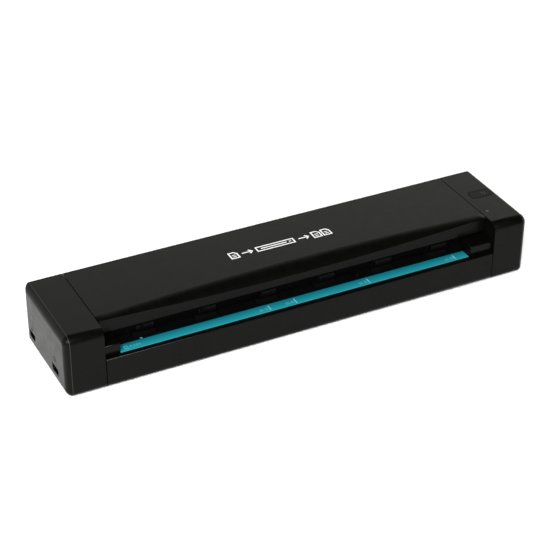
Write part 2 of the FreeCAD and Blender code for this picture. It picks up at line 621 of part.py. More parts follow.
def upper_paper_guide():
    top = UPPER_Z + UPPER_THICKNESS
    section = [
        (LIP_Y + WALL + 0.1, LIP_Z + 0.1, 0),
        (-15.2, UPPER_Z + 0.6, 0.8),
        (-13.4, UPPER_Z, 0.5),
        (UPPER_GUIDE_BACK, UPPER_Z, 0),
        (UPPER_GUIDE_BACK, top, 0),
        (-12.9, top, 0.5),
        (-14.2, top + 0.4, 0.5),
        (LIP_Y + WALL + 1.6, LIP_Z + 0.1, 0),
    ]
    right_end = X_MID - WALL - 0.2
    plate = prism_x(section, -right_end, right_end)
    ribs = []
    for i in range(RIB_COUNT):
        x = RIB_FIRST_X + RIB_PITCH * i
        fin = [
            (LIP_Y + WALL + 0.9, LIP_Z - 1.2, 0),
            (LIP_Y + WALL - 0.5, LIP_Z - 1.9, 0.3),
            (-16.7, UPPER_Z + 0.45, 0.3),
            (-14.0, UPPER_Z + 0.25, 0),
            (-14.6, UPPER_Z + 1.0, 0),
        ]
        ribs.append(prism_x(fin, x - 0.6, x + 0.6))
    holders = []
    for y in (FRONT_NIP_Y, REAR_NIP_Y):
        for x in AXLE_HOLDER_X:
            reach = PINCH_AXLE_R + 1.3
            tall = PINCH_Z + reach + PINCH_LIFT
            holders.append(box(x - 1.5, x + 1.5, y - reach, y + reach, top - 0.5, tall))
    end_lugs = [box(x0, x1, 20.5, HINGE_Y - HINGE_EYE_R - 0.6, top - 0.5, top + 7)
                for x0, x1 in ((-right_end, -right_end + 1.2), (right_end - 1.2, right_end))]
    plate = fused([plate] + ribs + holders + end_lugs)
    holes = [box(SCAN_X0 - 0.3, SCAN_X1 + 0.3, SCAN_Y0 - 0.3, SCAN_Y1 + 0.3, UPPER_Z - 1, top + 1)]
    half = PINCH_ROLLER_L / 2 + 0.8
    for y in (FRONT_NIP_Y, REAR_NIP_Y):
        holes += [box(x - half, x + half, y - 4.7, y + 4.7, UPPER_Z - 1, top + 7.5) for x in ROLLER_X]
        slot_r = PINCH_AXLE_R + RUNNING
        slot_z = (PINCH_Z, PINCH_Z + PINCH_LIFT + RUNNING)
        holes += [rod_x(-X_MID, X_MID, y, z, slot_r) for z in slot_z]
        holes.append(box(-X_MID, X_MID, y - slot_r, y + slot_r, *slot_z))
    for x, y in cover_post_places():
        holes.append(rod_z(x, y, UPPER_Z - 1, top + 1, COVER_SCREW_R + 0.1))
        holes.append(rod_z(x, y, UPPER_Z - 1, UPPER_Z + 0.9, COVER_HEAD_R + 0.2))
    holes.append(box(LEVER_X - 1.6, LEVER_X + 1.6, -21.5, -8.0, UPPER_Z - 1, top + 3.0))
    holes.append(box(-X_MID, SLOT_LEFT - 0.6, *CABLE_GAP_Y, UPPER_Z - 1, top + 9))
    return cut_all(plate, holes)


def cover_screws():
    screws = [screw_z(x, y, UPPER_Z + 0.1, 7.0, COVER_SCREW_R, COVER_HEAD_R, 0.8)
              for x, y in cover_post_places()]
    return Part.makeCompound(screws)


def drive_shaft(y):
    shaft = rod_x(-FRAME_OUT - 0.3, LAYER_A[1] + 0.3, y, SHAFT_Z, SHAFT_R)
    ends = [e for e in shaft.Edges if e.BoundBox.XLength < 1e-4]
    return shaft.makeChamfer(0.3, ends)


def roller_set(y, z, outer, inner, length):
    half = length / 2
    rollers = []
    for x in ROLLER_X:
        roller = tube_x(x - half, x + half, y, z, outer, inner)
        rims = [e for e in roller.Edges if e.BoundBox.XLength < 1e-4 and e.BoundBox.ZLength > outer * 1.9]
        rollers.append(roller.makeChamfer(0.3, rims))
    return Part.makeCompound(rollers)


def drive_rollers(y):
    return roller_set(y, SHAFT_Z, DRIVE_ROLLER_R, SHAFT_R, DRIVE_ROLLER_L)


def pinch_rollers(y):
    return roller_set(y, PINCH_Z, PINCH_ROLLER_R, PINCH_AXLE_R + RUNNING, PINCH_ROLLER_L)


def pinch_axle(y):
    axle = rod_x(-108.0, 108.0, y, PINCH_Z, PINCH_AXLE_R)
    ends = [e for e in axle.Edges if e.BoundBox.XLength < 1e-4]
    return axle.makeChamfer(0.3, ends)


def shaft_bushes():
    """Flanged plain bearings in the side frames, one at each end of each drive shaft."""
    bushes = []
    for side in (-1, 1):
        for y in (FRONT_NIP_Y, REAR_NIP_Y):
            sleeve = rod_x(X_CAP, FRAME_OUT, y, SHAFT_Z, BUSH_R)
            flange = rod_x(X_CAP - 0.8, X_CAP, y, SHAFT_Z, BUSH_R + 0.5)
            bush = sleeve.fuse(flange).removeSplitter()
            bush = bush.cut(rod_x(X_CAP - 2, FRAME_OUT + 1, y, SHAFT_Z, SHAFT_R + RUNNING))
            bushes.append(mirrored(bush, side))
    return Part.makeCompound(bushes)


def spring_sleeve(x, y, low, top, outer):
    """A coil spring, given as a sleeve of its outer shape as thick as its wire."""
    return tube_z(x, y, low, top, outer, outer - SPRING_WIRE)


def pinch_springs(y):
    low = PINCH_Z + PINCH_AXLE_R
    top = FRONT_SPRING_TOP if y < 0 else Z_CEILING
    return Part.makeCompound([spring_sleeve(x, y, low, top, 2.3) for x in PINCH_SPRING_X])


def upper_scan_springs():
    places = [(x, BOARD_POST_Y) for x in UPPER_SCAN_SPRING_X]
    return Part.makeCompound([spring_sleeve(x, y, UPPER_SCAN_TOP, Z_CEILING, 2.8) for x, y in places])


# --- scan modules and electronics ---------------------------------------------------------------
def lower_scan_body():
    glass_z = GUIDE_Z - 0.05
    narrow = box(SCAN_X0, SCAN_X1, SCAN_Y0, SCAN_Y1, SCAN_BOTTOM_Z, glass_z)
    wide = box(SCAN_X0, SCAN_X1, SCAN_Y0 - SCAN_FLANGE, SCAN_Y1 + SCAN_FLANGE, SCAN_BOTTOM_Z,
               GUIDE_Z - GUIDE_THICKNESS - 0.1)
    body = fused([narrow, wide])
    return body.cut(box(SCAN_X0 + 2, SCAN_X1 - 2, SCAN_Y0 + 1, SCAN_Y1 - 1, glass_z - GLASS_THICKNESS,
                        glass_z + 1))


def lower_scan_glass():
    glass_z = GUIDE_Z - 0.05
    return box(SCAN_X0 + 2, SCAN_X1 - 2, SCAN_Y0 + 1, SCAN_Y1 - 1, glass_z - GLASS_THICKNESS, glass_z)


def upper_scan_body():
    low = UPPER_Z - 0.25
    narrow = box(SCAN_X0, SCAN_X1, SCAN_Y0, SCAN_Y1, low, UPPER_SCAN_TOP)
    wide = box(UPPER_SCAN_LEFT, SCAN_X1, SCAN_Y0 - 1.0, SCAN_Y1 + 1.0, UPPER_Z + UPPER_THICKNESS + 0.1,
               UPPER_SCAN_TOP)
    body = fused([narrow, wide])
    return body.cut(box(SCAN_X0 + 2, SCAN_X1 - 2, SCAN_Y0 + 1, SCAN_Y1 - 1, low - 1, low + GLASS_THICKNESS))


def upper_scan_glass():
    low = UPPER_Z - 0.25
    return box(SCAN_X0 + 2, SCAN_X1 - 2, SCAN_Y0 + 1, SCAN_Y1 - 1, low, low + GLASS_THICKNESS)


def main_board():
    head = plate_z(-X_END + WALL + 0.4, -FRAME_OUT - 0.3, -24, 27, BOARD_Z, BOARD_TOP, 1.0)
    neck = box(-FRAME_OUT - 1.5, -30.0, -5.0, 10.0, BOARD_Z, BOARD_TOP)
    board = fused([head, neck])
    return cut_all(board, [rod_z(x, BOARD_POST_Y, 0, GUIDE_Z, SMALL_SCREW_R + 0.25) for x in BOARD_POSTS])


def board_components():
    """Chips, a coil, capacitors and cable sockets on the main board, and the button board's lamp."""
    z = BOARD_TOP
    parts = [
        box(-140.0, -130.0, -6.0, 4.0, z, z + 1.4),
        box(-139.0, -131.0, 7.0, 13.0, z, z + 1.2),
        plate_z(-135.8, -129.8, -22.5, -16.5, z, z + 3.0, 1.2),
        rod_z(-131.0, 24.0, z, z + 5.0, 2.4),
        box(-96.0, -84.0, -2.5, 7.5, z, z + 1.3),
        box(-62.0, -54.0, -1.5, 6.5, z, z + 1.1),
        box(-50.0, -44.0, 0.0, 5.0, z, z + 1.0),
        box(-113.0, -108.0, 6.2, 9.6, z, z + 1.2),
        box(-121.5, -115.5, 6.2, 9.6, z, z + 1.2),
    ]
    parts += [box(x, x + 1.6, -4.4, -3.6, z, z + 0.7) for x in (-95.0, -91.0, -87.0, -83.0, -60.0, -56.0)]
    lamp_z = SWITCH_BOARD_Z + SWITCH_BOARD_T
    parts.append(box(LIGHT_X - 0.8, LIGHT_X + 0.8, LIGHT_Y - 0.5, LIGHT_Y + 0.5, lamp_z, lamp_z + 0.7))
    return Part.makeCompound(parts)


def port(centre, width, height):
    """A small socket behind the cap's wall: a folded metal shell, closed at the back, with a tongue."""
    y, z = centre
    x0 = -X_END + WALL + 0.05
    x1 = x0 + PORT_DEEP
    t = PORT_SHEET
    outer = [
        (y - width / 2, z - height / 2, 0.8),
        (y + width / 2, z - height / 2, 0.8),
        (y + width / 2, z + height / 2, 0.4),
        (y - width / 2, z + height / 2, 0.4),
    ]
    inner = [
        (y - width / 2 + t, z - height / 2 + t, 0.5),
        (y + width / 2 - t, z - height / 2 + t, 0.5),
        (y + width / 2 - t, z + height / 2 - t, 0.2),
        (y - width / 2 + t, z + height / 2 - t, 0.2),
    ]
    shell = prism_x(outer, x0, x1).cut(prism_x(inner, x0 - 1, x1 - 1.2))
    tongue = box(x0 + 1.2, x1 - 1.0, y - width * 0.3, y + width * 0.3, z - 0.4, z + 0.5)
    return fused([shell, tongue])


def usb_port():
    return port(FRONT_PORT_YZ, 8.6, 3.8)


def power_port():
    return port(REAR_PORT_YZ, 7.6, 3.8)


def lower_scan_cable():
    y = SCAN_Y1 + SCAN_FLANGE
    t = 0.2
    top = 15.0
    low = BOARD_TOP + 0.4
    section = [
        (y, top, 0),
        (y + 0.5 + t, top, 0.3),
        (y + 0.5 + t, low, 0.3),
        (y - 1.0, low, 0),
        (y - 1.0, low + t, 0),
        (y + 0.5, low + t, 0),
        (y + 0.5, top - t, 0),
        (y, top - t, 0),
    ]
    return prism_x(section, -112.5, -108.5)


def upper_scan_cable():
    t = 0.2
    top = UPPER_SCAN_TOP
    low = BOARD_TOP + 0.4
    back = 24.5
    start = 4.0
    finish = 9.7
    path = [
        (start, top, 0),
        (start, top + t, 0),
        (back + t, top + t, 1.4),
        (back + t, low, 1.4),
        (finish, low, 0),
        (finish, low + t, 0),
        (back, low + t, 1.2),
        (back, top, 1.2),
    ]
    return prism_x(path, -121.2, -116.2)


def small_screws():
    """Identical small screws: main board, motor and button board."""
    screws = []
    for x in BOARD_POSTS:
        head = rod_z(x, BOARD_POST_Y, BOARD_TOP, BOARD_TOP + SMALL_HEAD_H, SMALL_HEAD_R)
        screws.append(head.fuse(rod_z(x, BOARD_POST_Y, BOARD_TOP - 4.0, BOARD_TOP, SMALL_SCREW_R)))
    for y, z in motor_holes():
        head = rod_x(MOTOR_FACE - SMALL_HEAD_H, MOTOR_FACE, y, z, SMALL_HEAD_R)
        screws.append(head.fuse(rod_x(MOTOR_FACE, MOTOR_FACE + 4.0, y, z, SMALL_SCREW_R)))
    for x, y in SWITCH_POSTS:
        head = rod_z(x, y, SWITCH_BOARD_Z - SMALL_HEAD_H, SWITCH_BOARD_Z, SMALL_HEAD_R)
        shank = rod_z(x, y, SWITCH_BOARD_Z, SWITCH_BOARD_Z + 3.0, SMALL_SCREW_R)
        screws.append(head.fuse(shank))
    return Part.makeCompound(screws)


# --- drive --------------------------------------------------------------------------------------
def motor_holes():
    y, z = MOTOR_YZ
    return [(y - 8.5, z - 8.5), (y + 8.5, z - 8.5)]


def motor_bracket():
    """A steel plate that carries the motor, on two posts from the side frame."""
    y0, y1 = MOTOR_YZ[0] - 10.8, Y_BACK_IN - 0.8
    z0, z1 = Z_FLOOR + 1.2, SWITCH_BOARD_Z - 0.4
    x0 = MOTOR_FACE
    plate = prism_x([(y0, z0 + 5, 2), (y1 - 4, z0, 2), (y1, z0, 2), (y1, z1, 2), (y0, z1, 2)],
                    x0, x0 + MOTOR_PLATE_T)
    posts = [rod_x(FRAME_OUT, x0 + 0.4, y, z, 1.3) for y, z in BRACKET_POSTS]
    bracket = fused([plate] + posts)
    holes = [rod_x(x0 - 1, x0 + 2, *MOTOR_YZ, 3.6)]
    holes += [rod_x(x0 - 1, x0 + 2, y, z, SMALL_SCREW_R) for y, z in motor_holes()]
    holes += [rod_x(FRAME_OUT - 1, X_END, y, z, CAP_POST_R + 0.3) for y, z in CAP_POSTS]
    return cut_all(bracket, holes)


def stepper_motor():
    y, z = MOTOR_YZ
    x0 = MOTOR_FACE + MOTOR_PLATE_T
    can = rod_x(x0, x0 + MOTOR_L, y, z, MOTOR_R)
    rims = [e for e in can.Edges if e.BoundBox.XLength < 1e-4]
    can = can.makeFillet(0.6, rims)
    nose = rod_x(x0 - 1.6, x0 + 1, y, z, 3.4)
    lugs = [rod_x(x0, x0 + 0.8, hy, hz, 2.3) for hy, hz in motor_holes()]
    motor = fused([can, nose] + lugs)
    holes = [rod_x(x0 - 3, x0 + 7, y, z, MOTOR_SHAFT_R + RUNNING)]
    holes += [rod_x(x0 - 1, x0 + 6, hy, hz, SMALL_SCREW_R) for hy, hz in motor_holes()]
    return cut_all(motor, holes)


def motor_shaft():
    y, z = MOTOR_YZ
    return rod_x(LAYER_B[0] - 0.2, MOTOR_FACE + MOTOR_PLATE_T + 6.5, y, z, MOTOR_SHAFT_R)


def gear_phases():
    """Each gear's phase, worked out along the train so that all of them mesh at rest."""
    front = (FRONT_NIP_Y, SHAFT_Z)
    rear = (REAR_NIP_Y, SHAFT_Z)
    phases = {"front": 0.0}
    phases["transfer"] = meshed_phase(front, SHAFT_TEETH, 0.0, TRANSFER_YZ, TRANSFER_TEETH)
    phases["rear"] = meshed_phase(TRANSFER_YZ, TRANSFER_TEETH, phases["transfer"], rear, SHAFT_TEETH)
    phases["small"] = meshed_phase(
        TRANSFER_YZ, TRANSFER_TEETH, phases["transfer"], REDUCTION_YZ, PINION_TEETH)
    phases["pinion"] = meshed_phase(
        REDUCTION_YZ, REDUCTION_TEETH, phases["small"], MOTOR_YZ, PINION_TEETH)
    return phases


def shaft_gear(y, name):
    return gear_x(LAYER_A[0], LAYER_A[1], (y, SHAFT_Z), SHAFT_TEETH, gear_phases()[name], SHAFT_R)


def transfer_gear():
    return gear_x(LAYER_A[0], LAYER_A[1], TRANSFER_YZ, TRANSFER_TEETH, gear_phases()["transfer"],
                  GEAR_PIN_R + RUNNING)


def reduction_gear():
    """Two wheels moulded as one: the small one drives the transfer gear, the large one is driven."""
    phase = gear_phases()["small"]
    bore = GEAR_PIN_R + RUNNING
    small = gear_x(LAYER_A[0], LAYER_B[0], REDUCTION_YZ, PINION_TEETH, phase, bore)
    large = gear_x(LAYER_B[0], LAYER_B[1], REDUCTION_YZ, REDUCTION_TEETH, phase, bore)
    return small.fuse(large)


def motor_pinion():
    return gear_x(LAYER_B[0], LAYER_B[1], MOTOR_YZ, PINION_TEETH, gear_phases()["pinion"], MOTOR_SHAFT_R)


def gear_pins():
    pins = []
    for (y, z), tip in ((TRANSFER_YZ, LAYER_A[1] + 0.9), (REDUCTION_YZ, LAYER_B[1] + 0.6)):
        pins.append(rod_x(X_CAP + 0.4, tip, y, z, GEAR_PIN_R))
    return Part.makeCompound(pins)


# --- hinge, latches, button and sensor ----------------------------------------------------------
def hinge_pin(side):
    pin = rod_x(TAB_X + 0.5, X_CAP + 6.5, HINGE_Y, HINGE_Z, HINGE_PIN_R)
    ends = [e for e in pin.Edges if e.BoundBox.XLength < 1e-4]
    return mirrored(pin.makeChamfer(0.25, ends), side)


def cover_latch(side):
    """A leaf spring behind the side frame, with a dome that rests in a dimple of the cover."""
    leaf = box(FRAME_OUT, FRAME_OUT + 0.3, LATCH_Y - 3.0, LATCH_Y + 11.0, LATCH_Z - 2.2, LATCH_Z + 2.2)
    stem = rod_x(X_CAP + 0.4, FRAME_OUT + 0.1, LATCH_Y, LATCH_Z, LATCH_STEM_R)
    dome = Part.makeSphere(LATCH_DOME_R, V(X_CAP - 0.3 + LATCH_DOME_R, LATCH_Y, LATCH_Z))
    dome = dome.common(rod_x(X_CAP - 2, X_CAP + 0.6, LATCH_Y, LATCH_Z, LATCH_STEM_R))
    return mirrored(fused([leaf, stem, dome]), side)


def scan_button():
    x0, x1 = BUTTON_X - BUTTON_L / 2, BUTTON_X + BUTTON_L / 2
    y0, y1 = BUTTON_Y - BUTTON_W / 2, BUTTON_Y + BUTTON_W / 2
    cap = plate_z(x0, x1, y0, y1, Z_CEILING - 1.0, Z_TOP, BUTTON_R)
    rim = [e for e in cap.Edges if e.BoundBox.ZLength < 1e-4 and abs(e.BoundBox.ZMax - Z_TOP) < 1e-4]
    cap = cap.makeFillet(0.4, rim)
    flange = plate_z(x0 - 0.9, x1 + 0.9, y0 - 0.9, y1 + 0.9, Z_CEILING - 1.0, Z_CEILING - 0.1, BUTTON_R)
    stem = rod_z(BUTTON_X, BUTTON_Y, SWITCH_TOP + 0.9, Z_CEILING - 0.5, 2.0)
    return fused([cap, flange, stem])


def button_board():
    board = plate_z(127.7, 144.3, -18.5, 15.5, SWITCH_BOARD_Z, SWITCH_BOARD_Z + SWITCH_BOARD_T, 1.0)
    return cut_all(board, [rod_z(x, y, 0, Z_TOP, SMALL_SCREW_R + 0.05) for x, y in SWITCH_POSTS])


def button_switch():
    low = SWITCH_BOARD_Z + SWITCH_BOARD_T
    body = plate_z(BUTTON_X - 3.0, BUTTON_X + 3.0, BUTTON_Y - 3.0, BUTTON_Y + 3.0, low, SWITCH_TOP, 0.4)
    return body.cut(rod_z(BUTTON_X, BUTTON_Y, low + 0.1, low + 9, 1.6))


def switch_plunger():
    return rod_z(BUTTON_X, BUTTON_Y, SWITCH_TOP - 0.25, SWITCH_TOP + 0.9, 1.5)


def status_light_pipe():
    low = SWITCH_BOARD_Z + SWITCH_BOARD_T + 0.8
    return fused([rod_z(LIGHT_X, LIGHT_Y, low, Z_TOP, 0.85), rod_z(LIGHT_X, LIGHT_Y, low, Z_CEILING, 1.3)])


def paper_sensor_lever():
    """A plastic lever: the sheet pushes its tip back and down, and its flag uncovers the light gate."""
    rod = rod_x(LEVER_X - 1.0, LEVER_X + 11.5, LEVER_Y, LEVER_Z, 1.0)
    hub = rod_x(LEVER_X - 0.8, LEVER_X + 0.8, LEVER_Y, LEVER_Z, 1.9)
    arm = [
        (LEVER_Y - 1.2, LEVER_Z, 0),
        (LEVER_Y + 1.2, LEVER_Z, 0),
        (-18.6, 17.0, 1.0),
        (-18.1, 22.4, 0.6),
        (-20.0, 22.4, 0.6),
        (-20.4, 17.4, 1.0),
    ]
    arm = prism_x(arm, LEVER_X - 0.8, LEVER_X + 0.8)
    flag = box(LEVER_X + 6.6, LEVER_X + 7.4, LEVER_Y - 1.4, LEVER_Y + 1.4, LEVER_Z - 5.5, LEVER_Z)
    return fused([rod, hub, arm, flag])


def paper_sensor():
    """A light gate with two posts, one each side of the lever's flag, and two pivot rests."""
    x = LEVER_X + 7.0
    base = box(x - 3.4, x + 3.4, LEVER_Y - 2.4, LEVER_Y + 2.4, Z_FLOOR, Z_FLOOR + 2)
    posts = [box(x - 3.4, x - 1.2, LEVER_Y - 2.0, LEVER_Y + 2.0, Z_FLOOR, LEVER_Z - 2.2),
             box(x + 1.2, x + 3.4, LEVER_Y - 2.0, LEVER_Y + 2.0, Z_FLOOR, LEVER_Z - 2.2)]
    rests = [box(x - 3.4, x - 2.0, LEVER_Y - 1.8, LEVER_Y + 1.8, Z_FLOOR, LEVER_Z + 1.6),
             box(x + 2.0, x + 3.4, LEVER_Y - 1.8, LEVER_Y + 1.8, Z_FLOOR, LEVER_Z + 1.6)]
    whole = fused([base] + posts + rests)
    return whole.cut(rod_x(LEVER_X, x + 6, LEVER_Y, LEVER_Z, 1.0 + RUNNING))


def sensor_lever_spring():
    x = LEVER_X + 1.6
    coil = tube_x(x, x + 1.6, LEVER_Y, LEVER_Z, 1.7, 1.35)
    leg = box(x + 0.6, x + 1.0, LEVER_Y - 1.6, LEVER_Y - 1.25, LEVER_Z - 8.5, LEVER_Z)
    return fused([coil, leg])


# --- the list of pieces -------------------------------------------------------------------------
PIECES = {
    "lower_housing": lower_housing,
    "top_cover": top_cover,
    "left_end_cap": lambda: end_cap(-1),
    "right_end_cap": lambda: end_cap(1),
    "left_side_frame": lambda: side_frame(-1),
    "right_side_frame": lambda: side_frame(1),
    "entry_guide_strip": entry_guide_strip,
    "left_slot_cheek": lambda: slot_cheek(-X_MID + 0.1, SLOT_LEFT),
    "right_slot_cheek": lambda: slot_cheek(SLOT_RIGHT, X_MID - 0.1),
    "lower_paper_guide": lower_paper_guide,
    "upper_paper_guide": upper_paper_guide,
    "rubber_feet": rubber_feet,
    "underside_label": underside_label,
    "case_screws": case_screws,
    "frame_screws": frame_screws,
    "cover_screws": cover_screws,
    "small_screws": small_screws,
    "main_board": main_board,
    "board_components": board_components,
    "usb_port": usb_port,
    "power_port": power_port,
    "lower_scan_body": lower_scan_body,
    "lower_scan_glass": lower_scan_glass,
    "upper_scan_body": upper_scan_body,
    "upper_scan_glass": upper_scan_glass,
    "lower_scan_cable": lower_scan_cable,
    "upper_scan_cable": upper_scan_cable,
    "left_hinge_pin": lambda: hinge_pin(-1),
    "right_hinge_pin": lambda: hinge_pin(1),
    "left_cover_latch": lambda: cover_latch(-1),
    "right_cover_latch": lambda: cover_latch(1),
    "front_drive_shaft": lambda: drive_shaft(FRONT_NIP_Y),
    "rear_drive_shaft": lambda: drive_shaft(REAR_NIP_Y),
    "front_drive_rollers": lambda: drive_rollers(FRONT_NIP_Y),
    "rear_drive_rollers": lambda: drive_rollers(REAR_NIP_Y),
    "shaft_bushes": shaft_bushes,
    "front_pinch_axle": lambda: pinch_axle(FRONT_NIP_Y),
    "rear_pinch_axle": lambda: pinch_axle(REAR_NIP_Y),
    "front_pinch_rollers": lambda: pinch_rollers(FRONT_NIP_Y),
    "rear_pinch_rollers": lambda: pinch_rollers(REAR_NIP_Y),
    "front_pinch_springs": lambda: pinch_springs(FRONT_NIP_Y),
    "rear_pinch_springs": lambda: pinch_springs(REAR_NIP_Y),
    "upper_scan_springs": upper_scan_springs,
    "stepper_motor": stepper_motor,
    "motor_bracket": motor_bracket,
    "motor_shaft": motor_shaft,
    "motor_pinion": motor_pinion,
    "reduction_gear": reduction_gear,
    "transfer_gear": transfer_gear,
    "gear_pins": gear_pins,
    "front_shaft_gear": lambda: shaft_gear(FRONT_NIP_Y, "front"),
    "rear_shaft_gear": lambda: shaft_gear(REAR_NIP_Y, "rear"),
    "scan_button": scan_button,
    "button_board": button_board,
    "button_switch": button_switch,
    "switch_plunger": switch_plunger,
    "status_light_pipe": status_light_pipe,
    "paper_sensor_lever": paper_sensor_lever,
    "paper_sensor": paper_sensor,
    "sensor_lever_spring": sensor_lever_spring,
}


def main():
    os.makedirs("parts", exist_ok=True)
    for name, make in PIECES.items():
        shape = make()
        if not shape.isValid():
            print("not valid:", name)
        print(f"{name}: {len(shape.Solids)} solids, {shape.Volume:.1f} mm3")
        shape.exportStep(f"parts/{name}.step")


main()
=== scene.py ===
import bmesh
import bpy
import math
from mathutils import Matrix, Vector

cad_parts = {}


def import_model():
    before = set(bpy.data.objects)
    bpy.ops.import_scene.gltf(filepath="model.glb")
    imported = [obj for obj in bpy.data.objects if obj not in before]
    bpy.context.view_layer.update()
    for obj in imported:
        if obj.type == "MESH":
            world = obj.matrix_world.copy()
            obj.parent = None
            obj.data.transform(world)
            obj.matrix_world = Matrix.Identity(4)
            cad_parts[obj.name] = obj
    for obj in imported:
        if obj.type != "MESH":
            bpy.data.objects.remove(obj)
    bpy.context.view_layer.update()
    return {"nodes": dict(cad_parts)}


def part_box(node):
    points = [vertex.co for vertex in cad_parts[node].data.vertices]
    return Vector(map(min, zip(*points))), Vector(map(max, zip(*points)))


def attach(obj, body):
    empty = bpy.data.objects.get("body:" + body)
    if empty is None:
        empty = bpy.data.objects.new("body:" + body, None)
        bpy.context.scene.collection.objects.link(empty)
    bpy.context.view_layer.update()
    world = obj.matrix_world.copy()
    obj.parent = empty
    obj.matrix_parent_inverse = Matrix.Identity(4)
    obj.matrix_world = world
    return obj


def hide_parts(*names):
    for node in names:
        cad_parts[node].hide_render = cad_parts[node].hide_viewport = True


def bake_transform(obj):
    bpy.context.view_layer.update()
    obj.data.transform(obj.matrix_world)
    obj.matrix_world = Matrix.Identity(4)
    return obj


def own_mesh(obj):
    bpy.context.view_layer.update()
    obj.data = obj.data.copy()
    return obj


# The looks of a sheet fed document scanner, around its CAD frame. Metres, +Z up, -Y is the front.

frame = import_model()
MM = 0.001
SAME_PLACE = 0.002 * MM  # vertices closer than this are one
BEVEL_LIMIT = 0.1 * MM  # short edges hold the case's bevels far below it, to 0.03 mm at the most
SHARP_ANGLE = 35  # degrees between faces, from which an edge is sharp
CREASE_ANGLE = 15  # the same for the end caps, whose faint crease is an edge too
INK_SUNK = 0.02  # millimetres that printed marks reach below and above their face
INK_RAISED = 0.015
PINCH_CLEARANCE = 0.05 * MM  # between an idle roller's bore and its axle


# --- materials ----------------------------------------------------------------------------------
class Look:
    """A principled material and a few ways of giving its surface detail."""

    def __init__(self, name, color, rough, metallic=0.0, specular=0.5):
        self.material = bpy.data.materials.new(name)
        self.material.use_nodes = True
        self.nodes = self.material.node_tree.nodes
        self.links = self.material.node_tree.links
        self.shader = self.nodes["Principled BSDF"]
        self.color = color
        self.shader.inputs["Base Color"].default_value = (*color, 1)
        self.shader.inputs["Roughness"].default_value = rough
        self.shader.inputs["Metallic"].default_value = metallic
        self.shader.inputs["Specular IOR Level"].default_value = specular
        self.place = self.nodes.new("ShaderNodeTexCoord").outputs["Object"]
        self.height = None

    def math(self, operation, a, b=None):
        node = self.nodes.new("ShaderNodeMath")
        node.operation = operation
        for i, value in enumerate((a, b)):
            if value is None:
                continue
            if isinstance(value, (int, float)):
                node.inputs[i].default_value = value
            else:
                self.links.new(value, node.inputs[i])
        return node.outputs[0]

    def stretched(self, scale):
        node = self.nodes.new("ShaderNodeMapping")
        node.inputs["Scale"].default_value = scale
        self.links.new(self.place, node.inputs["Vector"])
        return node.outputs["Vector"]

    def noise(self, size, detail=3.0, stretch=None):
        """Noise whose grains are about size metres."""
        node = self.nodes.new("ShaderNodeTexNoise")
        node.inputs["Scale"].default_value = 1 / size
        node.inputs["Detail"].default_value = detail
        vector = self.stretched(stretch) if stretch else self.place
        self.links.new(vector, node.inputs["Vector"])
        return node.outputs["Fac"]

    def wave(self, size, axis, shape="SIN"):
        """Parallel lines size metres apart, along an axis."""
        node = self.nodes.new("ShaderNodeTexWave")
        node.bands_direction = axis
        node.wave_profile = shape
        node.inputs["Scale"].default_value = 0.314 / size
        self.links.new(self.place, node.inputs["Vector"])
        return node.outputs["Fac"]

    def ranged(self, value, low, high, start=0.3, end=0.7):
        node = self.nodes.new("ShaderNodeMapRange")
        node.inputs["From Min"].default_value = start
        node.inputs["From Max"].default_value = end
        node.inputs["To Min"].default_value = low
        node.inputs["To Max"].default_value = high
        self.links.new(value, node.inputs["Value"])
        return node.outputs["Result"]

    def rough(self, value, low, high):
        self.links.new(self.ranged(value, low, high), self.shader.inputs["Roughness"])

    def along(self, axis):
        """The place along an axis, in metres."""
        node = self.nodes.new("ShaderNodeSeparateXYZ")
        self.links.new(self.place, node.inputs[0])
        return node.outputs[axis]

    def tint(self, value, other, start=0.3, end=0.7):
        """Mixes another colour in where value is high."""
        node = self.nodes.new("ShaderNodeMix")
        node.data_type = "RGBA"
        node.inputs["A"].default_value = (*self.color, 1)
        node.inputs["B"].default_value = (*other, 1)
        previous = self.shader.inputs["Base Color"]
        if previous.links:
            self.links.new(previous.links[0].from_socket, node.inputs["A"])
        self.links.new(self.ranged(value, 0.0, 1.0, start, end), node.inputs["Factor"])
        self.links.new(node.outputs["Result"], previous)

    def bump(self, value, depth):
        """Raises the surface by value times depth metres."""
        node = self.nodes.new("ShaderNodeBump")
        node.inputs["Strength"].default_value = 1.0
        node.inputs["Distance"].default_value = depth
        self.links.new(value, node.inputs["Height"])
        target = self.shader.inputs["Normal"]
        if target.links:
            self.links.new(target.links[0].from_socket, node.inputs["Normal"])
        self.links.new(node.outputs["Normal"], target)


def textured(name, color, rough, specular, grain=0.35 * MM, depth=0.004 * MM, spread=0.05):
    """Moulded plastic with a fine spark-eroded texture and faint flow clouds."""
    look = Look(name, color, rough, specular=specular)
    look.rough(look.noise(6 * MM, 4.0), rough - spread, rough + spread)
    look.tint(look.noise(14 * MM, 2.0), tuple(c * 1.35 for c in color))
    look.bump(look.noise(grain, 2.0), depth)
    return look


def moulded(*args, **kwargs):
    return textured(*args, **kwargs).material


def end_plastic():
    """The case's plastic, with a painted highlight: a thin paler band along the crease round each end face.
    """
    look = textured("end_black", CASE_COLOR, CASE_ROUGH, CASE_SPECULAR, spread=CASE_SPREAD)
    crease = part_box("right_end_cap")[1].x - END_ROUNDING
    off = look.math("ABSOLUTE", look.math("SUBTRACT", look.math("ABSOLUTE", look.along("X")), crease))
    # painted highlight: the thin band at the crease is paler, standing in for the light its edge catches
    look.tint(off, CREASE_HIGHLIGHT_COLOR, start=0.24 * MM, end=0.08 * MM)
    return look.material


def metal(name, color, rough, grain=0.2 * MM, depth=0.002 * MM, stretch=(0.05, 1, 1)):
    """Drawn or ground metal: grain stretched along X unless told otherwise."""
    look = Look(name, color, rough, metallic=1.0)
    look.rough(look.noise(grain, 3.0, stretch), rough - 0.08, rough + 0.1)
    look.tint(look.noise(5 * MM, 3.0), tuple(c * 0.8 for c in color))
    look.bump(look.noise(grain, 3.0, stretch), depth)
    return look.material


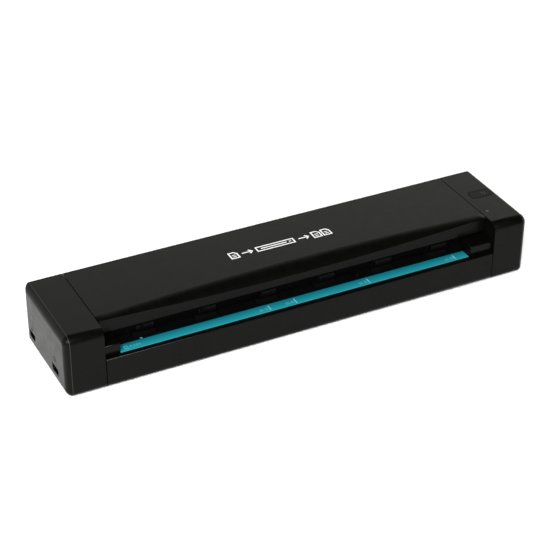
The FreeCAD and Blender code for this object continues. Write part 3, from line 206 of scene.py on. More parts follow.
def rubber(name, color, rough=0.75, specular=0.3):
    look = Look(name, color, rough, specular=specular)
    look.rough(look.noise(1.5 * MM, 4.0), rough - 0.1, rough + 0.1)
    look.tint(look.noise(2.5 * MM, 5.0), tuple(c * 1.6 for c in color))
    look.bump(look.noise(0.25 * MM, 3.0), 0.02 * MM)
    return look.material


def board_green():
    look = Look("board_green", (0.008, 0.09, 0.035), 0.35)
    traces = look.wave(1.3 * MM, "Y", "TRI")
    turned = look.wave(2.1 * MM, "X", "TRI")
    lines = look.math("MAXIMUM", look.ranged(traces, 0, 1, 0.8, 0.86),
                      look.ranged(turned, 0, 1, 0.88, 0.93))
    patches = look.ranged(look.noise(7 * MM, 1.0), 0, 1, 0.48, 0.5)
    look.tint(look.math("MULTIPLY", lines, patches), (0.02, 0.2, 0.07))
    look.bump(look.math("MULTIPLY", lines, patches), 0.03 * MM)
    look.rough(look.noise(3 * MM), 0.28, 0.42)
    return look.material


def teal():
    """Satin blue-green plastic with painted light and shade: paler towards its front edge and darker towards
    its back under the lip, and nearly black below its top face, as on its front side.
    """
    look = Look("teal", (0.004, 0.095, 0.13), 0.42, specular=0.2)
    look.tint(look.noise(9 * MM, 3.0), (0.005, 0.102, 0.138))
    low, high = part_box("entry_guide_strip")
    # painted light and shade: paler towards the front edge, darker towards the back where the lip shades it
    look.tint(look.along("Y"), (0.01, 0.245, 0.285), start=high.y, end=low.y)
    # painted shade: nearly black below the top face, on the front side
    look.tint(look.along("Z"), (0.001, 0.004, 0.005), start=high.z - 0.1 * MM, end=high.z - 0.25 * MM)
    look.rough(look.noise(2 * MM, 3.0), 0.36, 0.48)
    look.bump(look.noise(0.3 * MM, 2.0), 0.003 * MM)
    return look.material


def scan_glass():
    look = Look("scan_glass", (0.55, 0.68, 0.64), 0.04)
    look.shader.inputs["Transmission Weight"].default_value = 0.97
    look.shader.inputs["IOR"].default_value = 1.5
    look.rough(look.noise(4 * MM), 0.03, 0.07)
    return look.material


def smoky_plastic():
    """Dark see-through plastic that only lets the lamp behind it show."""
    look = Look("smoky_plastic", (0.02, 0.021, 0.021), 0.25, specular=0.3)
    look.shader.inputs["Transmission Weight"].default_value = 0.5
    look.tint(look.noise(0.8 * MM), (0.03, 0.032, 0.032))
    look.rough(look.noise(0.6 * MM), 0.2, 0.35)
    return look.material


def flat_cable():
    look = Look("flat_cable", (0.7, 0.7, 0.66), 0.35)
    look.tint(look.wave(0.5 * MM, "X"), (0.45, 0.45, 0.46))
    look.bump(look.wave(0.5 * MM, "X"), 0.03 * MM)
    look.rough(look.noise(2 * MM), 0.3, 0.45)
    return look.material


def lens_row():
    """A row of tiny round lenses behind black glass."""
    look = Look("lens_row", (0.01, 0.01, 0.012), 0.15)
    look.tint(look.wave(0.6 * MM, "X"), (0.05, 0.05, 0.06))
    look.bump(look.wave(0.6 * MM, "X"), 0.05 * MM)
    look.rough(look.noise(2 * MM), 0.1, 0.25)
    return look.material


def ink(name, color, specular=0.2):
    """Screen printing ink, slightly uneven where the mesh left it thin."""
    look = Look(name, color, 0.6, specular=specular)
    look.rough(look.noise(0.8 * MM, 3.0), 0.5, 0.7)
    look.tint(look.noise(1.2 * MM, 4.0), tuple(c * 0.8 for c in color))
    look.bump(look.noise(0.2 * MM, 2.0), 0.002 * MM)
    return look.material


CASE_COLOR = (0.0012, 0.0012, 0.001)
CASE_ROUGH = 0.3
CASE_SPREAD = 0.04
CASE_SPECULAR = 0.085
END_ROUNDING = 3.2 * MM  # from each outer end face to the crease round it
# colour of the painted highlight along the end caps' crease
CREASE_HIGHLIGHT_COLOR = (0.024, 0.024, 0.023)
LOOKS = {
    "case": moulded("case_black", CASE_COLOR, CASE_ROUGH, CASE_SPECULAR, spread=CASE_SPREAD),
    "end": end_plastic(),
    "inner": moulded("inner_black", (0.001, 0.0011, 0.001), 0.55, 0.06, grain=0.5 * MM,
                     depth=0.008 * MM),
    "button": moulded("button_black", (0.001, 0.001, 0.001), 0.27, 0.05, grain=0.5 * MM,
                      depth=0.001 * MM),
    "teal": teal(),
    "feet": rubber("foot_rubber", (0.012, 0.012, 0.012)),
    "roller": rubber("roller_rubber", (0.0008, 0.0008, 0.0009), 0.75, specular=0.03),
    "pinch": moulded("pinch_black", (0.0015, 0.0015, 0.0015), 0.45, 0.08),
    "gear": moulded("acetal_cream", (0.62, 0.6, 0.5), 0.4, 0.5),
    "bush": moulded("bush_grey", (0.09, 0.09, 0.09), 0.5, 0.5, grain=0.15 * MM),
    "steel": metal("ground_steel", (0.5, 0.51, 0.52), 0.25),
    "zinc": metal("zinc_plate", (0.55, 0.56, 0.55), 0.35, grain=0.8 * MM, stretch=(1, 1, 1)),
    "brass": metal("turned_brass", (0.62, 0.42, 0.16), 0.3),
    "glass": scan_glass(),
    "smoky": smoky_plastic(),
    "board": board_green(),
    "chip": moulded("chip_black", (0.012, 0.012, 0.013), 0.5, 0.4, grain=0.12 * MM),
    "cable": flat_cable(),
    "label": moulded("label_silver", (0.25, 0.25, 0.25), 0.45, 0.5, grain=0.2 * MM),
    "spring": metal("spring_wire", (0.55, 0.55, 0.56), 0.22, grain=0.1 * MM, depth=0.001 * MM,
                    stretch=(1, 1, 1)),
    "tin": metal("tinned_copper", (0.66, 0.66, 0.64), 0.3, grain=0.1 * MM, stretch=(1, 1, 1)),
    "copper": metal("wound_copper", (0.7, 0.28, 0.12), 0.35, grain=0.1 * MM, stretch=(1, 1, 0.2)),
    "hub": moulded("hub_grey", (0.01, 0.01, 0.011), 0.45, 0.2, grain=0.2 * MM),
    "ceramic": moulded("ceramic_tan", (0.3, 0.2, 0.1), 0.45, 0.4, grain=0.1 * MM),
    "lens": lens_row(),
    "milky": moulded("milky_guide", (0.5, 0.52, 0.5), 0.35, 0.5, grain=0.2 * MM),
    "white_ink": ink("white_ink", (0.8, 0.8, 0.79)),
    "grey_ink": ink("grey_ink", (0.045, 0.045, 0.045)),
    "dark_ink": ink("dark_ink", (0.004, 0.004, 0.004), specular=0.02),
    "strip_ink": ink("strip_ink", (0.3, 0.65, 0.72)),
    "faint_ink": ink("faint_ink", (0.1, 0.42, 0.5)),
}
CAD_LOOKS = {
    "case": ["lower_housing", "top_cover", "left_slot_cheek", "right_slot_cheek"],
    "end": ["left_end_cap", "right_end_cap"],
    "inner": ["left_side_frame", "right_side_frame", "lower_paper_guide", "upper_paper_guide",
              "lower_scan_body", "upper_scan_body", "paper_sensor_lever"],
    "teal": ["entry_guide_strip"],
    "button": ["scan_button", "switch_plunger"],
    "feet": ["rubber_feet"],
    "gear": ["reduction_gear", "transfer_gear", "front_shaft_gear", "rear_shaft_gear"],
    "bush": ["shaft_bushes"],
    "steel": ["left_hinge_pin", "right_hinge_pin", "front_drive_shaft", "rear_drive_shaft",
              "front_pinch_axle", "rear_pinch_axle", "motor_shaft", "gear_pins", "left_cover_latch",
              "right_cover_latch", "usb_port", "power_port"],
    "zinc": ["case_screws", "frame_screws", "cover_screws", "small_screws", "stepper_motor",
             "motor_bracket"],
    "brass": ["motor_pinion"],
    "glass": ["lower_scan_glass", "upper_scan_glass"],
    "smoky": ["status_light_pipe"],
    "board": ["main_board", "button_board"],
    "chip": ["button_switch", "paper_sensor"],
    "cable": ["lower_scan_cable"],
    "label": ["underside_label"],
}


def paint(piece, look):
    piece.data.materials.clear()
    piece.data.materials.append(LOOKS[look])


def soften(piece, angle):
    """Welds a CAD mesh and gives its edges a very narrow bevel, which mostly changes the shading."""
    weld = piece.modifiers.new("weld", "WELD")
    weld.merge_threshold = SAME_PLACE
    bevel = piece.modifiers.new("edges", "BEVEL")
    bevel.width = BEVEL_LIMIT
    bevel.segments = 2
    bevel.limit_method = "ANGLE"
    bevel.angle_limit = math.radians(angle)
    bevel.harden_normals = True
    bevel.use_clamp_overlap = True


for look_name, node_names in CAD_LOOKS.items():
    for node_name in node_names:
        paint(frame["nodes"][node_name], look_name)

for node_name in ("lower_housing", "top_cover", "left_slot_cheek", "right_slot_cheek"):
    soften(frame["nodes"][node_name], SHARP_ANGLE)
for node_name in ("left_end_cap", "right_end_cap"):
    soften(frame["nodes"][node_name], CREASE_ANGLE)


# --- building meshes ----------------------------------------------------------------------------
def add_piece(name, verts, faces, look, body):
    """A closed mesh with smooth shading between its sharp edges, riding on a body."""
    mesh = bpy.data.meshes.new(name)
    mesh.from_pydata([tuple(v) for v in verts], [], faces)
    tidy = bmesh.new()
    tidy.from_mesh(mesh)
    bmesh.ops.recalc_face_normals(tidy, faces=tidy.faces)
    tidy.to_mesh(mesh)
    tidy.free()
    mesh.polygons.foreach_set("use_smooth", [True] * len(mesh.polygons))
    mesh.set_sharp_from_angle(angle=math.radians(SHARP_ANGLE))
    piece = bpy.data.objects.new(name, mesh)
    bpy.context.scene.collection.objects.link(piece)
    mesh.materials.append(LOOKS[look])
    if body:
        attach(piece, body)
    return piece


def solids(node):
    """The lowest and highest corner of each separate solid of a CAD node, from left to right."""
    whole = bmesh.new()
    whole.from_mesh(frame["nodes"][node].data)
    bmesh.ops.remove_doubles(whole, verts=whole.verts, dist=SAME_PLACE)
    whole.verts.index_update()
    seen = set()
    found = []
    for vert in whole.verts:
        if vert.index in seen:
            continue
        seen.add(vert.index)
        group = [vert]
        for member in group:
            for edge in member.link_edges:
                other = edge.other_vert(member)
                if other.index not in seen:
                    seen.add(other.index)
                    group.append(other)
        low = Vector([min(v.co[i] for v in group) for i in range(3)])
        high = Vector([max(v.co[i] for v in group) for i in range(3)])
        found.append((low, high))
    whole.free()
    return sorted(found, key=lambda corners: tuple(round(c, 5) for c in corners[0]))


class Shape:
    """Vertices and faces of one piece, put together from closed solids."""

    def __init__(self):
        self.verts = []
        self.faces = []

    def add(self, verts, faces):
        start = len(self.verts)
        self.verts += [Vector(v) for v in verts]
        self.faces += [tuple(i + start for i in face) for face in faces]
        return self

    def block(self, low, high, bevel):
        """A box with rounded edges between two corners."""
        solid = bmesh.new()
        bmesh.ops.create_cube(solid, size=1)
        middle = (Vector(low) + Vector(high)) / 2
        size = Vector(high) - Vector(low)
        for vert in solid.verts:
            vert.co = middle + Vector(a * b for a, b in zip(vert.co, size))
        bmesh.ops.bevel(solid, geom=solid.edges, offset=bevel, segments=2, profile=0.5,
                        affect="EDGES", clamp_overlap=True)
        solid.verts.index_update()
        self.add([v.co.copy() for v in solid.verts], [[v.index for v in f.verts] for f in solid.faces])
        solid.free()
        return self

    def lathe(self, profile, centre, axis="X", steps=64, flutes=0, depth=0.0):
        """Turns a closed profile of (along, radius) round an axis.

        Flutes are fine grooves along it, cut where the profile is at its largest radius.
        """
        largest = max(r for _, r in profile)
        verts = []
        for i in range(steps):
            angle = 2 * math.pi * i / steps
            groove = depth * (0.5 - 0.5 * math.cos(flutes * angle)) ** 3
            for along, r in profile:
                if flutes and r > largest - 0.01 * MM:
                    r -= groove
                across, up = r * math.cos(angle), r * math.sin(angle)
                if axis == "X":
                    verts.append((along, centre[0] + across, centre[1] + up))
                else:
                    verts.append((centre[0] + across, centre[1] + up, along))
        count = len(profile)
        faces = []
        for i in range(steps):
            after = (i + 1) % steps
            for j in range(count):
                k = (j + 1) % count
                faces.append((i * count + j, i * count + k, after * count + k, after * count + j))
        return self.add(verts, faces)

    def tube(self, points, radius):
        """Round wire along a line of points, closed at both ends."""
        sides = 8
        points = [Vector(p) for p in points]
        ahead = (points[1] - points[0]).normalized()
        side = ahead.orthogonal().normalized()
        verts = []
        for i, point in enumerate(points):
            before = points[max(i - 1, 0)]
            after = points[min(i + 1, len(points) - 1)]
            ahead = (after - before).normalized()
            side = (side - ahead * side.dot(ahead)).normalized()
            other = ahead.cross(side)
            for j in range(sides):
                angle = 2 * math.pi * j / sides
                verts.append(point + (side * math.cos(angle) + other * math.sin(angle)) * radius)
        faces = []
        for i in range(len(points) - 1):
            for j in range(sides):
                k = (j + 1) % sides
                faces.append((i * sides + j, i * sides + k, (i + 1) * sides + k, (i + 1) * sides + j))
        last = (len(points) - 1) * sides
        faces.append(tuple(reversed(range(sides))))
        faces.append(tuple(range(last, last + sides)))
        return self.add(verts, faces)

    def ribbon(self, line, width, place, low, high, closed=False):
        """A thin plate of even width along a flat line of (x, y). place turns (x, y, height) into a point."""
        line = [Vector(p) for p in line]
        count = len(line)
        sides = []
        for i, point in enumerate(line):
            before = line[i - 1] if closed or i else None
            after = line[(i + 1) % count] if closed or i < count - 1 else None
            ways = [(b - a).normalized() for a, b in ((before, point), (point, after)) if a and b]
            normals = [Vector((-way.y, way.x)) for way in ways]
            both = sum(normals, Vector((0, 0)))
            offset = both * (width / both.dot(both) * len(normals) / 2)
            sides.append((point + offset, point - offset))
        verts = []
        for left, right in sides:
            verts += [place(left.x, left.y, low), place(right.x, right.y, low),
                      place(left.x, left.y, high), place(right.x, right.y, high)]
        faces = []
        for i in range(count if closed else count - 1):
            a = 4 * i
            b = 4 * ((i + 1) % count)
            faces += [(a, b, b + 1, a + 1), (a + 2, a + 3, b + 3, b + 2),
                      (a, a + 2, b + 2, b), (a + 1, b + 1, b + 3, a + 3)]
        if not closed:
            last = 4 * (count - 1)
            faces += [(0, 1, 3, 2), (last, last + 2, last + 3, last + 1)]
        return self.add(verts, faces)


# --- printed marks ------------------------------------------------------------------------------
class Ink:
    """Pictograms printed on a flat face. They are drawn in millimetres from a point of the face."""

    def __init__(self, origin, across, along):
        self.origin = Vector(origin)
        self.across = Vector(across)
        self.along = Vector(along)
        self.up = self.across.cross(self.along)
        self.shape = Shape()

    def place(self, x, y, height):
        return self.origin + (self.across * x + self.along * y + self.up * height) * MM

    def line(self, points, width, closed=False):
        self.shape.ribbon(points, width, self.place, -INK_SUNK, INK_RAISED, closed)

    def ring(self, x, y, radius, width):
        steps = 32
        angles = [math.pi / 2 + 2 * math.pi * i / steps for i in range(steps)]
        points = [(x + radius * math.cos(a), y + radius * math.sin(a)) for a in angles]
        self.line(points, width, closed=True)

    def sheet(self, x, y, width, height, stroke, fold=0.0, rows=0):
        """A page with a folded corner and a few rows on it. x, y is its lower left corner."""
        right, top = x + width, y + height
        corner = [(right - fold, top), (right, top - fold)] if fold else [(right, top)]
        self.line([(x, y), (x, top), *corner, (right, y)], stroke, closed=True)
        for i in range(rows):
            row_y = y + height * (i + 1) / (rows + 1.6)
            self.line([(x + width * 0.27, row_y), (right - width * 0.27, row_y)], stroke * 0.8)

    def arrow(self, x, y, length, head, stroke):
        self.line([(x, y), (x + length - stroke * 0.7, y)], stroke)
        tip = x + length
        self.line([(tip - head, y + head), (tip, y), (tip - head, y - head)], stroke)

    def make(self, name, look, body):
        add_piece(name, self.shape.verts, self.shape.faces, look, body)


def top_row():
    """A row of pictograms on the cover: a page goes through the scanner and comes out as two pages."""
    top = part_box("top_cover")[1].z
    ink = Ink((0, 2.8 * MM, top), (1, 0, 0), (0, 1, 0))
    stroke = 0.85
    middle = 3.0
    ink.sheet(-31.6, 0, 4.8, 6.0, stroke, fold=1.6, rows=2)
    ink.arrow(-24.2, middle, 6.6, 1.9, stroke)
    ink.sheet(-14.6, 0.9, 24.0, 4.2, stroke)
    ink.line([(-12.0, middle), (4.6, middle)], stroke)
    ink.line([(6.2, middle), (7.6, middle)], stroke)
    ink.arrow(12.4, middle, 6.6, 1.9, stroke)
    ink.sheet(21.8, 0, 4.8, 6.0, stroke, fold=1.6, rows=2)
    ink.sheet(28.2, 0, 4.8, 6.0, stroke, fold=1.6, rows=2)
    ink.make("top_pictograms", "white_ink", "cover")


PAPER_TICKS = (-22.0, -5.5, 42.3, 100.8)  # where the strip's width marks are


def strip_marks():
    """Paper width ticks, each with a faint page beside it, and a feeding pictogram at the left."""
    low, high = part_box("entry_guide_strip")
    front = low.y / MM
    place = ((0, 0, high.z), (1, 0, 0), (0, 1, 0))
    ticks = Ink(*place)
    pages = Ink(*place)
    for x in PAPER_TICKS:
        ticks.line([(x, front + 1.2), (x, front + 5.6)], 0.4)
        pages.sheet(x - 2.6, front + 2.2, 1.2, 1.7, 0.25)
        pages.line([(x - 6.4, front + 2.4), (x - 3.6, front + 2.4)], 0.3)
        pages.line([(x - 6.4, front + 3.4), (x - 4.4, front + 3.4)], 0.3)
    left = low.x / MM + 3.4
    pages.sheet(left, front + 1.8, 1.9, 2.6, 0.4, rows=1)
    pages.line([(left + 2.9, front + 2.4), (left + 3.9, front + 4.0), (left + 4.9, front + 2.4)], 0.35)
    for i in range(3):
        pages.line([(left + 6.1 + 1.5 * i, front + 2.4), (left + 6.1 + 1.5 * i, front + 4.2)], 0.45)
    ticks.make("strip_ticks", "strip_ink", "base")
    pages.make("strip_pages", "faint_ink", "base")
    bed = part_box("lower_paper_guide")[1].z
    edge = high.y / MM + 0.9
    pointer = Ink((0, 0, bed), (1, 0, 0), (0, 1, 0))
    pointer.line([(-99.4, edge + 0.4), (-98.8, edge - 0.4), (-98.2, edge + 0.4)], 0.45)
    pointer.make("edge_pointer", "faint_ink", "base")


def socket_icons():
    """A small mark above each socket in the left end: a plug on a lead, and a ring with a stroke."""
    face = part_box("left_end_cap")[0].x
    for node, name, height in (("usb_port", "data_icon", 5.6), ("power_port", "power_icon", 3.4)):
        low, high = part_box(node)
        middle = (low + high) / 2
        ink = Ink((face, middle.y, middle.z + height * MM), (0, -1, 0), (0, 0, 1))
        if name == "data_icon":
            ink.sheet(-1.1, 0.9, 2.2, 1.9, 0.45)
            ink.line([(0, 0.9), (0, -0.5), (-0.9, -1.2)], 0.45)
        else:
            ink.ring(0, 0.8, 0.85, 0.4)
            ink.line([(0, 1.1), (0, 2.3)], 0.4)
        ink.make(name, "dark_ink", "base")


def button_icon():
    low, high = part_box("scan_button")
    rim = 0.9 * MM
    middle = (low + high) / 2
    ink = Ink((middle.x + 2.2 * MM, middle.y - rim, high.z), (1, 0, 0), (0, 1, 0))
    ink.sheet(-0.9, -0.3, 1.8, 2.4, 0.3, fold=0.6, rows=1)
    ink.make("button_icon", "grey_ink", "button")


def label_print():
    """The underside label's frame, boxes and grey bars, with no wording."""
    low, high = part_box("underside_label")
    width, depth = (high.x - low.x) / MM, (high.y - low.y) / MM
    ink = Ink((low.x, high.y, low.z), (1, 0, 0), (0, -1, 0))
    ink.sheet(1.5, 1.5, width - 3, depth - 3, 0.3)
    for i, share in enumerate((0.5, 0.42, 0.5, 0.3)):
        ink.line([(4, 5 + 3.6 * i), (4 + width * share, 5 + 3.6 * i)], 0.9)
    for i in range(3):
        ink.sheet(width - 24 + 7.2 * i, 6, 5, 9, 0.35)
    ink.make("label_print", "dark_ink", "base")


# --- springs, rollers and cables ----------------------------------------------------------------
def coil_points(x, y, low, high, radius, turns, wire):
    """A compression spring's centre line: one dead turn at each end, and an even pitch between."""
    steps = 28
    points = []
    for i in range(turns * steps + 1):
        turn = i / steps
        dead = wire * min(turn, 1) + wire * max(0, turn - turns + 1)
        live = (high - low - 3 * wire) * min(max((turn - 1) / (turns - 2), 0), 1)
        angle = 2 * math.pi * turn
        points.append((x + radius * math.cos(angle), y + radius * math.sin(angle),
                       low + wire / 2 + dead + live))
    return points


def compression_springs():
    wire = 0.5 * MM
    for node, joint, turns in (("front_pinch_springs", "front_pinch_lift", 8),
                               ("rear_pinch_springs", "rear_pinch_lift", 9),
                               ("upper_scan_springs", "upper_scan_float", 7)):
        for i, (low, high) in enumerate(solids(node)):
            middle = (low + high) / 2
            radius = (high.x - low.x) / 2 - wire / 2
            line = coil_points(middle.x, middle.y, low.z, high.z, radius, turns, wire)
            shape = Shape().tube(line, wire / 2)
            spring = add_piece(f"{node[:-1]}_{i + 1}", shape.verts, shape.faces, "spring", "cover")
            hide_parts(node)
            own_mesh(spring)


def torsion_spring():
    """The sensor lever's spring: three turns round its pivot, with a straight leg down from the start of its
    coil.
    """
    low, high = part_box("sensor_lever_spring")
    wire = 0.32 * MM
    radius = 1.45 * MM
    pivot_y = high.y - radius - wire / 2
    pivot_z = high.z - radius - wire / 2
    steps = 24
    turns = 3.25
    first = low.x + wire / 2
    pitch = (high.x - low.x - wire) / turns
    coil = []
    for i in range(int(turns * steps) + 1):
        turn = i / steps
        angle = math.pi + 2 * math.pi * turn
        coil.append((first + pitch * turn, pivot_y + radius * math.cos(angle),
                     pivot_z + radius * math.sin(angle)))
    foot = (first, coil[0][1], low.z + wire)
    shape = Shape().tube([foot, *coil], wire / 2)
    spring = add_piece("lever_spring", shape.verts, shape.faces, "spring", "base")
    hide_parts("sensor_lever_spring")


def both_ends(low, high, half_profile):
    """A roller's closed profile from the points of one end, given as (distance from the end, radius)."""
    left = [(low + a, r) for a, r in half_profile]
    right = [(high - a, r) for a, r in reversed(half_profile)]
    return left + right


def drive_rollers():
    """Each roller is a grooved rubber tyre on a moulded hub."""
    for node, body in (("front_drive_rollers", "front_drive"), ("rear_drive_rollers", "rear_drive")):
        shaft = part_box(node.replace("rollers", "shaft"))
        bore = (shaft[1].z - shaft[0].z) / 2
        for i, (low, high) in enumerate(solids(node)):
            centre = ((low.y + high.y) / 2, (low.z + high.z) / 2)
            outer = (high.z - low.z) / 2
            seat = outer - 2.0 * MM
            tyre_end = [(0, seat), (0, outer - 0.4 * MM), (0.12 * MM, outer - 0.12 * MM), (0.4 * MM, outer)]
            tyre = Shape().lathe(both_ends(low.x, high.x, tyre_end), centre, steps=192, flutes=48,
                                 depth=0.22 * MM)
            hub_end = [(0.4 * MM, bore), (0.4 * MM, bore + 0.6 * MM), (1.4 * MM, bore + 0.75 * MM),
                       (1.4 * MM, seat - 0.75 * MM), (0.4 * MM, seat - 0.6 * MM), (0.4 * MM, seat)]
            hub = Shape().lathe(both_ends(low.x, high.x, hub_end), centre, steps=48)
            for name, shape, look, slot in (("tyre", tyre, "roller", "roller_rubber"),
                                            ("hub", hub, "hub", "bush_plastic")):
                piece = add_piece(f"{body}_{name}_{i + 1}", shape.verts, shape.faces, look, body)
                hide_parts(node)


def pinch_rollers():
    """Smooth idle rollers with a recess in each end and two shallow grooves."""
    for node, body in (("front_pinch_rollers", "front_pinch_roll"),
                       ("rear_pinch_rollers", "rear_pinch_roll")):
        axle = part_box(node.replace("rollers", "axle"))
        bore = (axle[1].z - axle[0].z) / 2 + PINCH_CLEARANCE
        for i, (low, high) in enumerate(solids(node)):
            centre = ((low.y + high.y) / 2, (low.z + high.z) / 2)
            outer = (high.z - low.z) / 2
            third = (high.x - low.x) / 3
            groove = 0.35 * MM
            end = [(0, bore), (0, bore + 0.7 * MM), (0.9 * MM, bore + 0.8 * MM), (0.9 * MM, outer - 1.0 * MM),
                   (0, outer - 0.9 * MM), (0, outer - 0.3 * MM), (0.3 * MM, outer),
                   (third - groove, outer), (third, outer - groove), (third + groove, outer)]
            shape = Shape().lathe(both_ends(low.x, high.x, end), centre)
            piece = add_piece(f"{body}_{i + 1}", shape.verts, shape.faces, "pinch", body)
            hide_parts(node)


def upper_cable():
    """The flat cable from the main board to the module in the cover, which bends beside the hinge."""
    low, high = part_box("upper_scan_cable")
    thick = 0.2 * MM
    bend = 2.2 * MM
    front = low.y
    back = high.y - thick / 2
    bottom = low.z + thick / 2
    top = high.z - thick / 2
    steps = 10

    def corner(y, z, start):
        angles = [start + math.pi / 2 * i / steps for i in range(steps + 1)]
        return [(y + bend * math.cos(a), z + bend * math.sin(a)) for a in angles]

    board_end = 9.7 * MM
    line = [(board_end, bottom), ((board_end + back - bend) / 2, bottom)]
    line += corner(back - bend, bottom + bend, -math.pi / 2)
    rise = 12
    for i in range(1, rise):
        line.append((back, bottom + bend + (top - bottom - 2 * bend) * i / rise))
    line += corner(back - bend, top - bend, 0)
    line += [((front + back - bend) / 2, top), (front, top)]
    middle = (low.x + high.x) / 2
    shape = Shape().ribbon(line, thick, lambda y, z, x: Vector((middle + x, y, z)),
                           (low.x - high.x) / 2, (high.x - low.x) / 2)
    cable = add_piece("upper_flat_cable", shape.verts, shape.faces, "cable", None)
    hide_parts("upper_scan_cable")
    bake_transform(cable)


# --- what is under the glass, in the sockets and on the board -----------------------------------
def scan_lines():
    """The lens row and the light guide that show through each scan glass."""
    for node, body, above in (("lower_scan_glass", "base", True),
                              ("upper_scan_glass", "upper_scan", False)):
        low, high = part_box(node)
        middle = (low.y + high.y) / 2
        base = low.z if above else high.z
        step = 1 if above else -1
        for name, look, y0, y1 in (("lenses", "lens", -0.7, 0.7), ("light_guide", "milky", 1.9, 3.9)):
            heights = sorted((base + 0.03 * MM * step, base + 0.35 * MM * step))
            shape = Shape().block((low.x + MM, middle + y0 * MM, heights[0]),
                                  (high.x - MM, middle + y1 * MM, heights[1]), 0.1 * MM)
            add_piece(f"{body}_{name}", shape.verts, shape.faces, look, body)


def socket_contacts():
    for node in ("usb_port", "power_port"):
        low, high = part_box(node)
        middle = (low + high) / 2
        shape = Shape()
        count = 5
        pitch = (high.y - low.y) * 0.6 / count
        for i in range(count):
            y = middle.y + pitch * (i - (count - 1) / 2)
            z = middle.z + 0.5 * MM
            shape.block((low.x + 1.6 * MM, y - pitch * 0.28, z - 0.02 * MM),
                        (high.x - 1.3 * MM, y + pitch * 0.28, z + 0.08 * MM), 0.03 * MM)
        add_piece(node.replace("port", "contacts"), shape.verts, shape.faces, "brass", "base")


def chip(name, low, high):
    """A moulded package with bent legs along its two long sides."""
    body = Shape()
    body.block((low.x + 0.5 * MM, low.y + 0.5 * MM, low.z + 0.12 * MM),
               (high.x - 0.5 * MM, high.y - 0.5 * MM, high.z), 0.18 * MM)
    piece = add_piece(name, body.verts, body.faces, "chip", "base")
    legs = Shape()
    pitch = 0.8 * MM
    count = int((high.x - low.x - 1.4 * MM) / pitch)
    start = (low.x + high.x) / 2 - pitch * (count - 1) / 2
    shoulder = low.z + 0.6 * MM
    for i in range(count):
        x = start + pitch * i
        for edge, inward in ((low.y, 1), (high.y, -1)):
            line = [(edge, low.z + 0.08 * MM), (edge + 0.25 * MM * inward, low.z + 0.08 * MM),
                    (edge + 0.35 * MM * inward, shoulder), (edge + 0.7 * MM * inward, shoulder)]
            legs.ribbon(line, 0.12 * MM, lambda y, z, across, x=x: Vector((x + across, y, z)),
                        -0.17 * MM, 0.17 * MM)
    pins = add_piece(name + "_legs", legs.verts, legs.faces, "tin", "base")
    return piece, pins


def passive(name, low, high):
    """A small ceramic part with tinned ends."""
    body = Shape().block((low.x + 0.3 * MM, low.y + 0.03 * MM, low.z),
                         (high.x - 0.3 * MM, high.y - 0.03 * MM, high.z - 0.03 * MM), 0.05 * MM)
    ends = Shape()
    ends.block(low, (low.x + 0.35 * MM, high.y, high.z), 0.06 * MM)
    ends.block((high.x - 0.35 * MM, low.y, low.z), high, 0.06 * MM)
    return (add_piece(name, body.verts, body.faces, "ceramic", "base"),
            add_piece(name + "_ends", ends.verts, ends.faces, "tin", "base"))


def can(name, low, high):
    """An electrolytic capacitor: a can with a crimped neck and a sunken top, on a square base."""
    middle = (low + high) / 2
    radius = (high.x - low.x) / 2
    foot = 0.5 * MM
    neck = low.z + 1.2 * MM
    profile = [(low.z + foot, 0.05 * MM), (low.z + foot, radius * 0.86), (neck - 0.3 * MM, radius * 0.9),
               (neck, radius * 0.8), (neck + 0.3 * MM, radius * 0.95), (high.z - 0.3 * MM, radius * 0.95),
               (high.z, radius * 0.8), (high.z - 0.1 * MM, radius * 0.7), (high.z - 0.1 * MM, 0.05 * MM)]
    body = Shape().lathe(profile, (middle.x, middle.y), axis="Z", steps=40)
    base = Shape().block(low, (high.x, high.y, low.z + foot), 0.12 * MM)
    return (add_piece(name, body.verts, body.faces, "steel", "base"),
            add_piece(name + "_base", base.verts, base.faces, "chip", "base"))


def coil_part(name, low, high):
    """A power coil: a dark block with a wound drum set into its top."""
    middle = (low + high) / 2
    radius = (high.x - low.x) / 2
    body = Shape().block(low, (high.x, high.y, high.z - 0.4 * MM), 0.4 * MM)
    top = high.z - 0.45 * MM
    profile = [(top, radius * 0.15), (top, radius * 0.75), (high.z - 0.1 * MM, radius * 0.72),
               (high.z, radius * 0.6), (high.z - 0.05 * MM, radius * 0.2)]
    drum = Shape().lathe(profile, (middle.x, middle.y), axis="Z", steps=40)
    return (add_piece(name, body.verts, body.faces, "chip", "base"),
            add_piece(name + "_winding", drum.verts, drum.faces, "copper", "base"))


def board_parts():
    """Each solid of the components node becomes the part that has its size."""
    for i, (low, high) in enumerate(solids("board_components")):
        width, depth, height = (high - low) / MM
        name = f"board_part_{i + 1}"
        if height > 4:
            made = can(name, low, high)
        elif height > 2:
            made = coil_part(name, low, high)
        elif width < 2:
            made = passive(name, low, high)
        else:
            made = chip(name, low, high)
        for piece in made:
            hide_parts("board_components")


top_row()
strip_marks()
socket_icons()
button_icon()
label_print()
compression_springs()
torsion_spring()
drive_rollers()
pinch_rollers()
upper_cable()
scan_lines()
socket_contacts()
board_parts()


# --- stage, light and camera --------------------------------------------------------------------
KEY_PLACE = (-1.155, -2.242, 1.97)  # behind the camera, so the shadow falls behind the object
GLOW_PLACE = (-0.62, -0.28, 0.35)  # lights the left end face
GLOW_TARGET = (-0.17, 0.05, 0)
VIEW_ANGLES = (-27.23, 32.74, 0.515)  # azimuth, elevation and roll, degrees
VIEW_PLACE = (1.0015, -0.001985, 0.014165)  # distance, and how far aside and above the origin
LENS = 109.15  # millimetres, on a sensor 36 wide


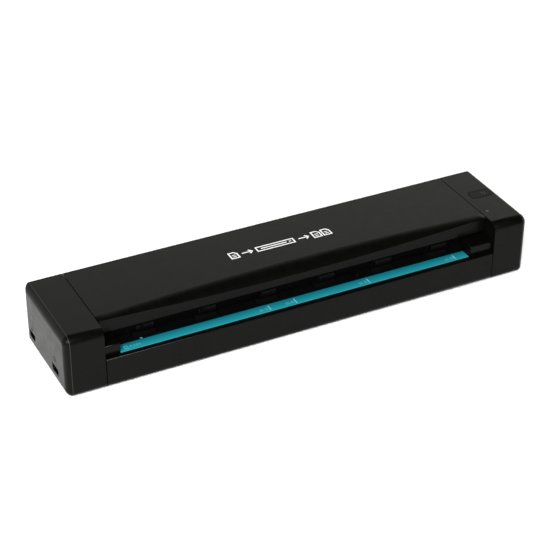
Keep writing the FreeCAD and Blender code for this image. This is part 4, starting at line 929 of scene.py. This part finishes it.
def floor():
    mesh = bpy.data.meshes.new("floor")
    half = 3.0
    corners = [(-half, -half, 0), (half, -half, 0), (half, half, 0), (-half, half, 0)]
    mesh.from_pydata(corners, [], [(0, 1, 2, 3)])
    piece = bpy.data.objects.new("floor", mesh)
    bpy.context.scene.collection.objects.link(piece)
    look = Look("floor_white", (0.92, 0.92, 0.92), 0.8)
    look.tint(look.noise(0.4), (0.94, 0.94, 0.94))
    mesh.materials.append(look.material)


def area_light(name, place, target, side, power):
    """A square lamp that shines from its place towards a target."""
    data = bpy.data.lights.new(name, "AREA")
    data.shape = "SQUARE"
    data.size = side
    data.energy = power
    lamp = bpy.data.objects.new(name, data)
    bpy.context.scene.collection.objects.link(lamp)
    lamp.location = place
    lamp.rotation_euler = (Vector(target) - Vector(place)).to_track_quat("-Z", "Y").to_euler()


def world():
    """A studio whose walls are bright low down and dark above."""
    scene = bpy.context.scene
    scene.world = bpy.data.worlds.new("studio")
    scene.world.use_nodes = True
    nodes = scene.world.node_tree.nodes
    links = scene.world.node_tree.links
    where = nodes.new("ShaderNodeTexCoord")
    split = nodes.new("ShaderNodeSeparateXYZ")
    links.new(where.outputs["Generated"], split.inputs[0])
    up = nodes.new("ShaderNodeMapRange")
    up.interpolation_type = "SMOOTHSTEP"
    up.inputs["From Min"].default_value = 0.5
    up.inputs["From Max"].default_value = 0.8
    up.inputs["To Min"].default_value = 1.0
    up.inputs["To Max"].default_value = 0.0
    links.new(split.outputs["Z"], up.inputs["Value"])
    back = nodes.new("ShaderNodeMapRange")
    back.interpolation_type = "SMOOTHSTEP"
    back.inputs["From Min"].default_value = -0.3
    back.inputs["From Max"].default_value = 0.4
    back.inputs["To Min"].default_value = 0.03
    back.inputs["To Max"].default_value = 1.3
    links.new(split.outputs["Y"], back.inputs["Value"])
    both = nodes.new("ShaderNodeMath")
    both.operation = "MULTIPLY"
    links.new(up.outputs["Result"], both.inputs[0])
    links.new(back.outputs["Result"], both.inputs[1])
    floor_level = nodes.new("ShaderNodeMath")
    floor_level.operation = "ADD"
    floor_level.inputs[1].default_value = 0.015
    links.new(both.outputs[0], floor_level.inputs[0])
    shader = nodes["Background"]
    shader.inputs["Color"].default_value = (1.0, 0.99, 0.95, 1)
    links.new(floor_level.outputs[0], shader.inputs["Strength"])


def camera():
    """The view of the front, the top and the left end that shows the object's straight edges."""
    azimuth, elevation, roll = (math.radians(angle) for angle in VIEW_ANGLES)
    distance, aside, above = VIEW_PLACE
    foot_height = MM
    back = Vector((math.sin(azimuth) * math.cos(elevation), -math.cos(azimuth) * math.cos(elevation),
                   math.sin(elevation)))
    right = (-back).cross(Vector((0, 0, 1))).normalized()
    up = right.cross(-back)
    turned_right = math.cos(roll) * right + math.sin(roll) * up
    turned_up = -math.sin(roll) * right + math.cos(roll) * up
    place = back * distance + turned_right * aside + turned_up * above + Vector((0, 0, foot_height))
    data = bpy.data.cameras.new("camera")
    data.lens = LENS
    data.sensor_width = 36
    data.clip_start = 0.05
    item = bpy.data.objects.new("camera", data)
    bpy.context.scene.collection.objects.link(item)
    axes = Matrix((turned_right, turned_up, back)).transposed().to_4x4()
    axes.translation = place
    item.matrix_world = axes
    bpy.context.scene.camera = item


floor()
world()
area_light("key", KEY_PLACE, (0, 0, 0), side=1.3, power=190)
area_light("left_glow", GLOW_PLACE, GLOW_TARGET, side=0.2, power=2.0)
camera()
bpy.context.scene.view_settings.view_transform = "Standard"
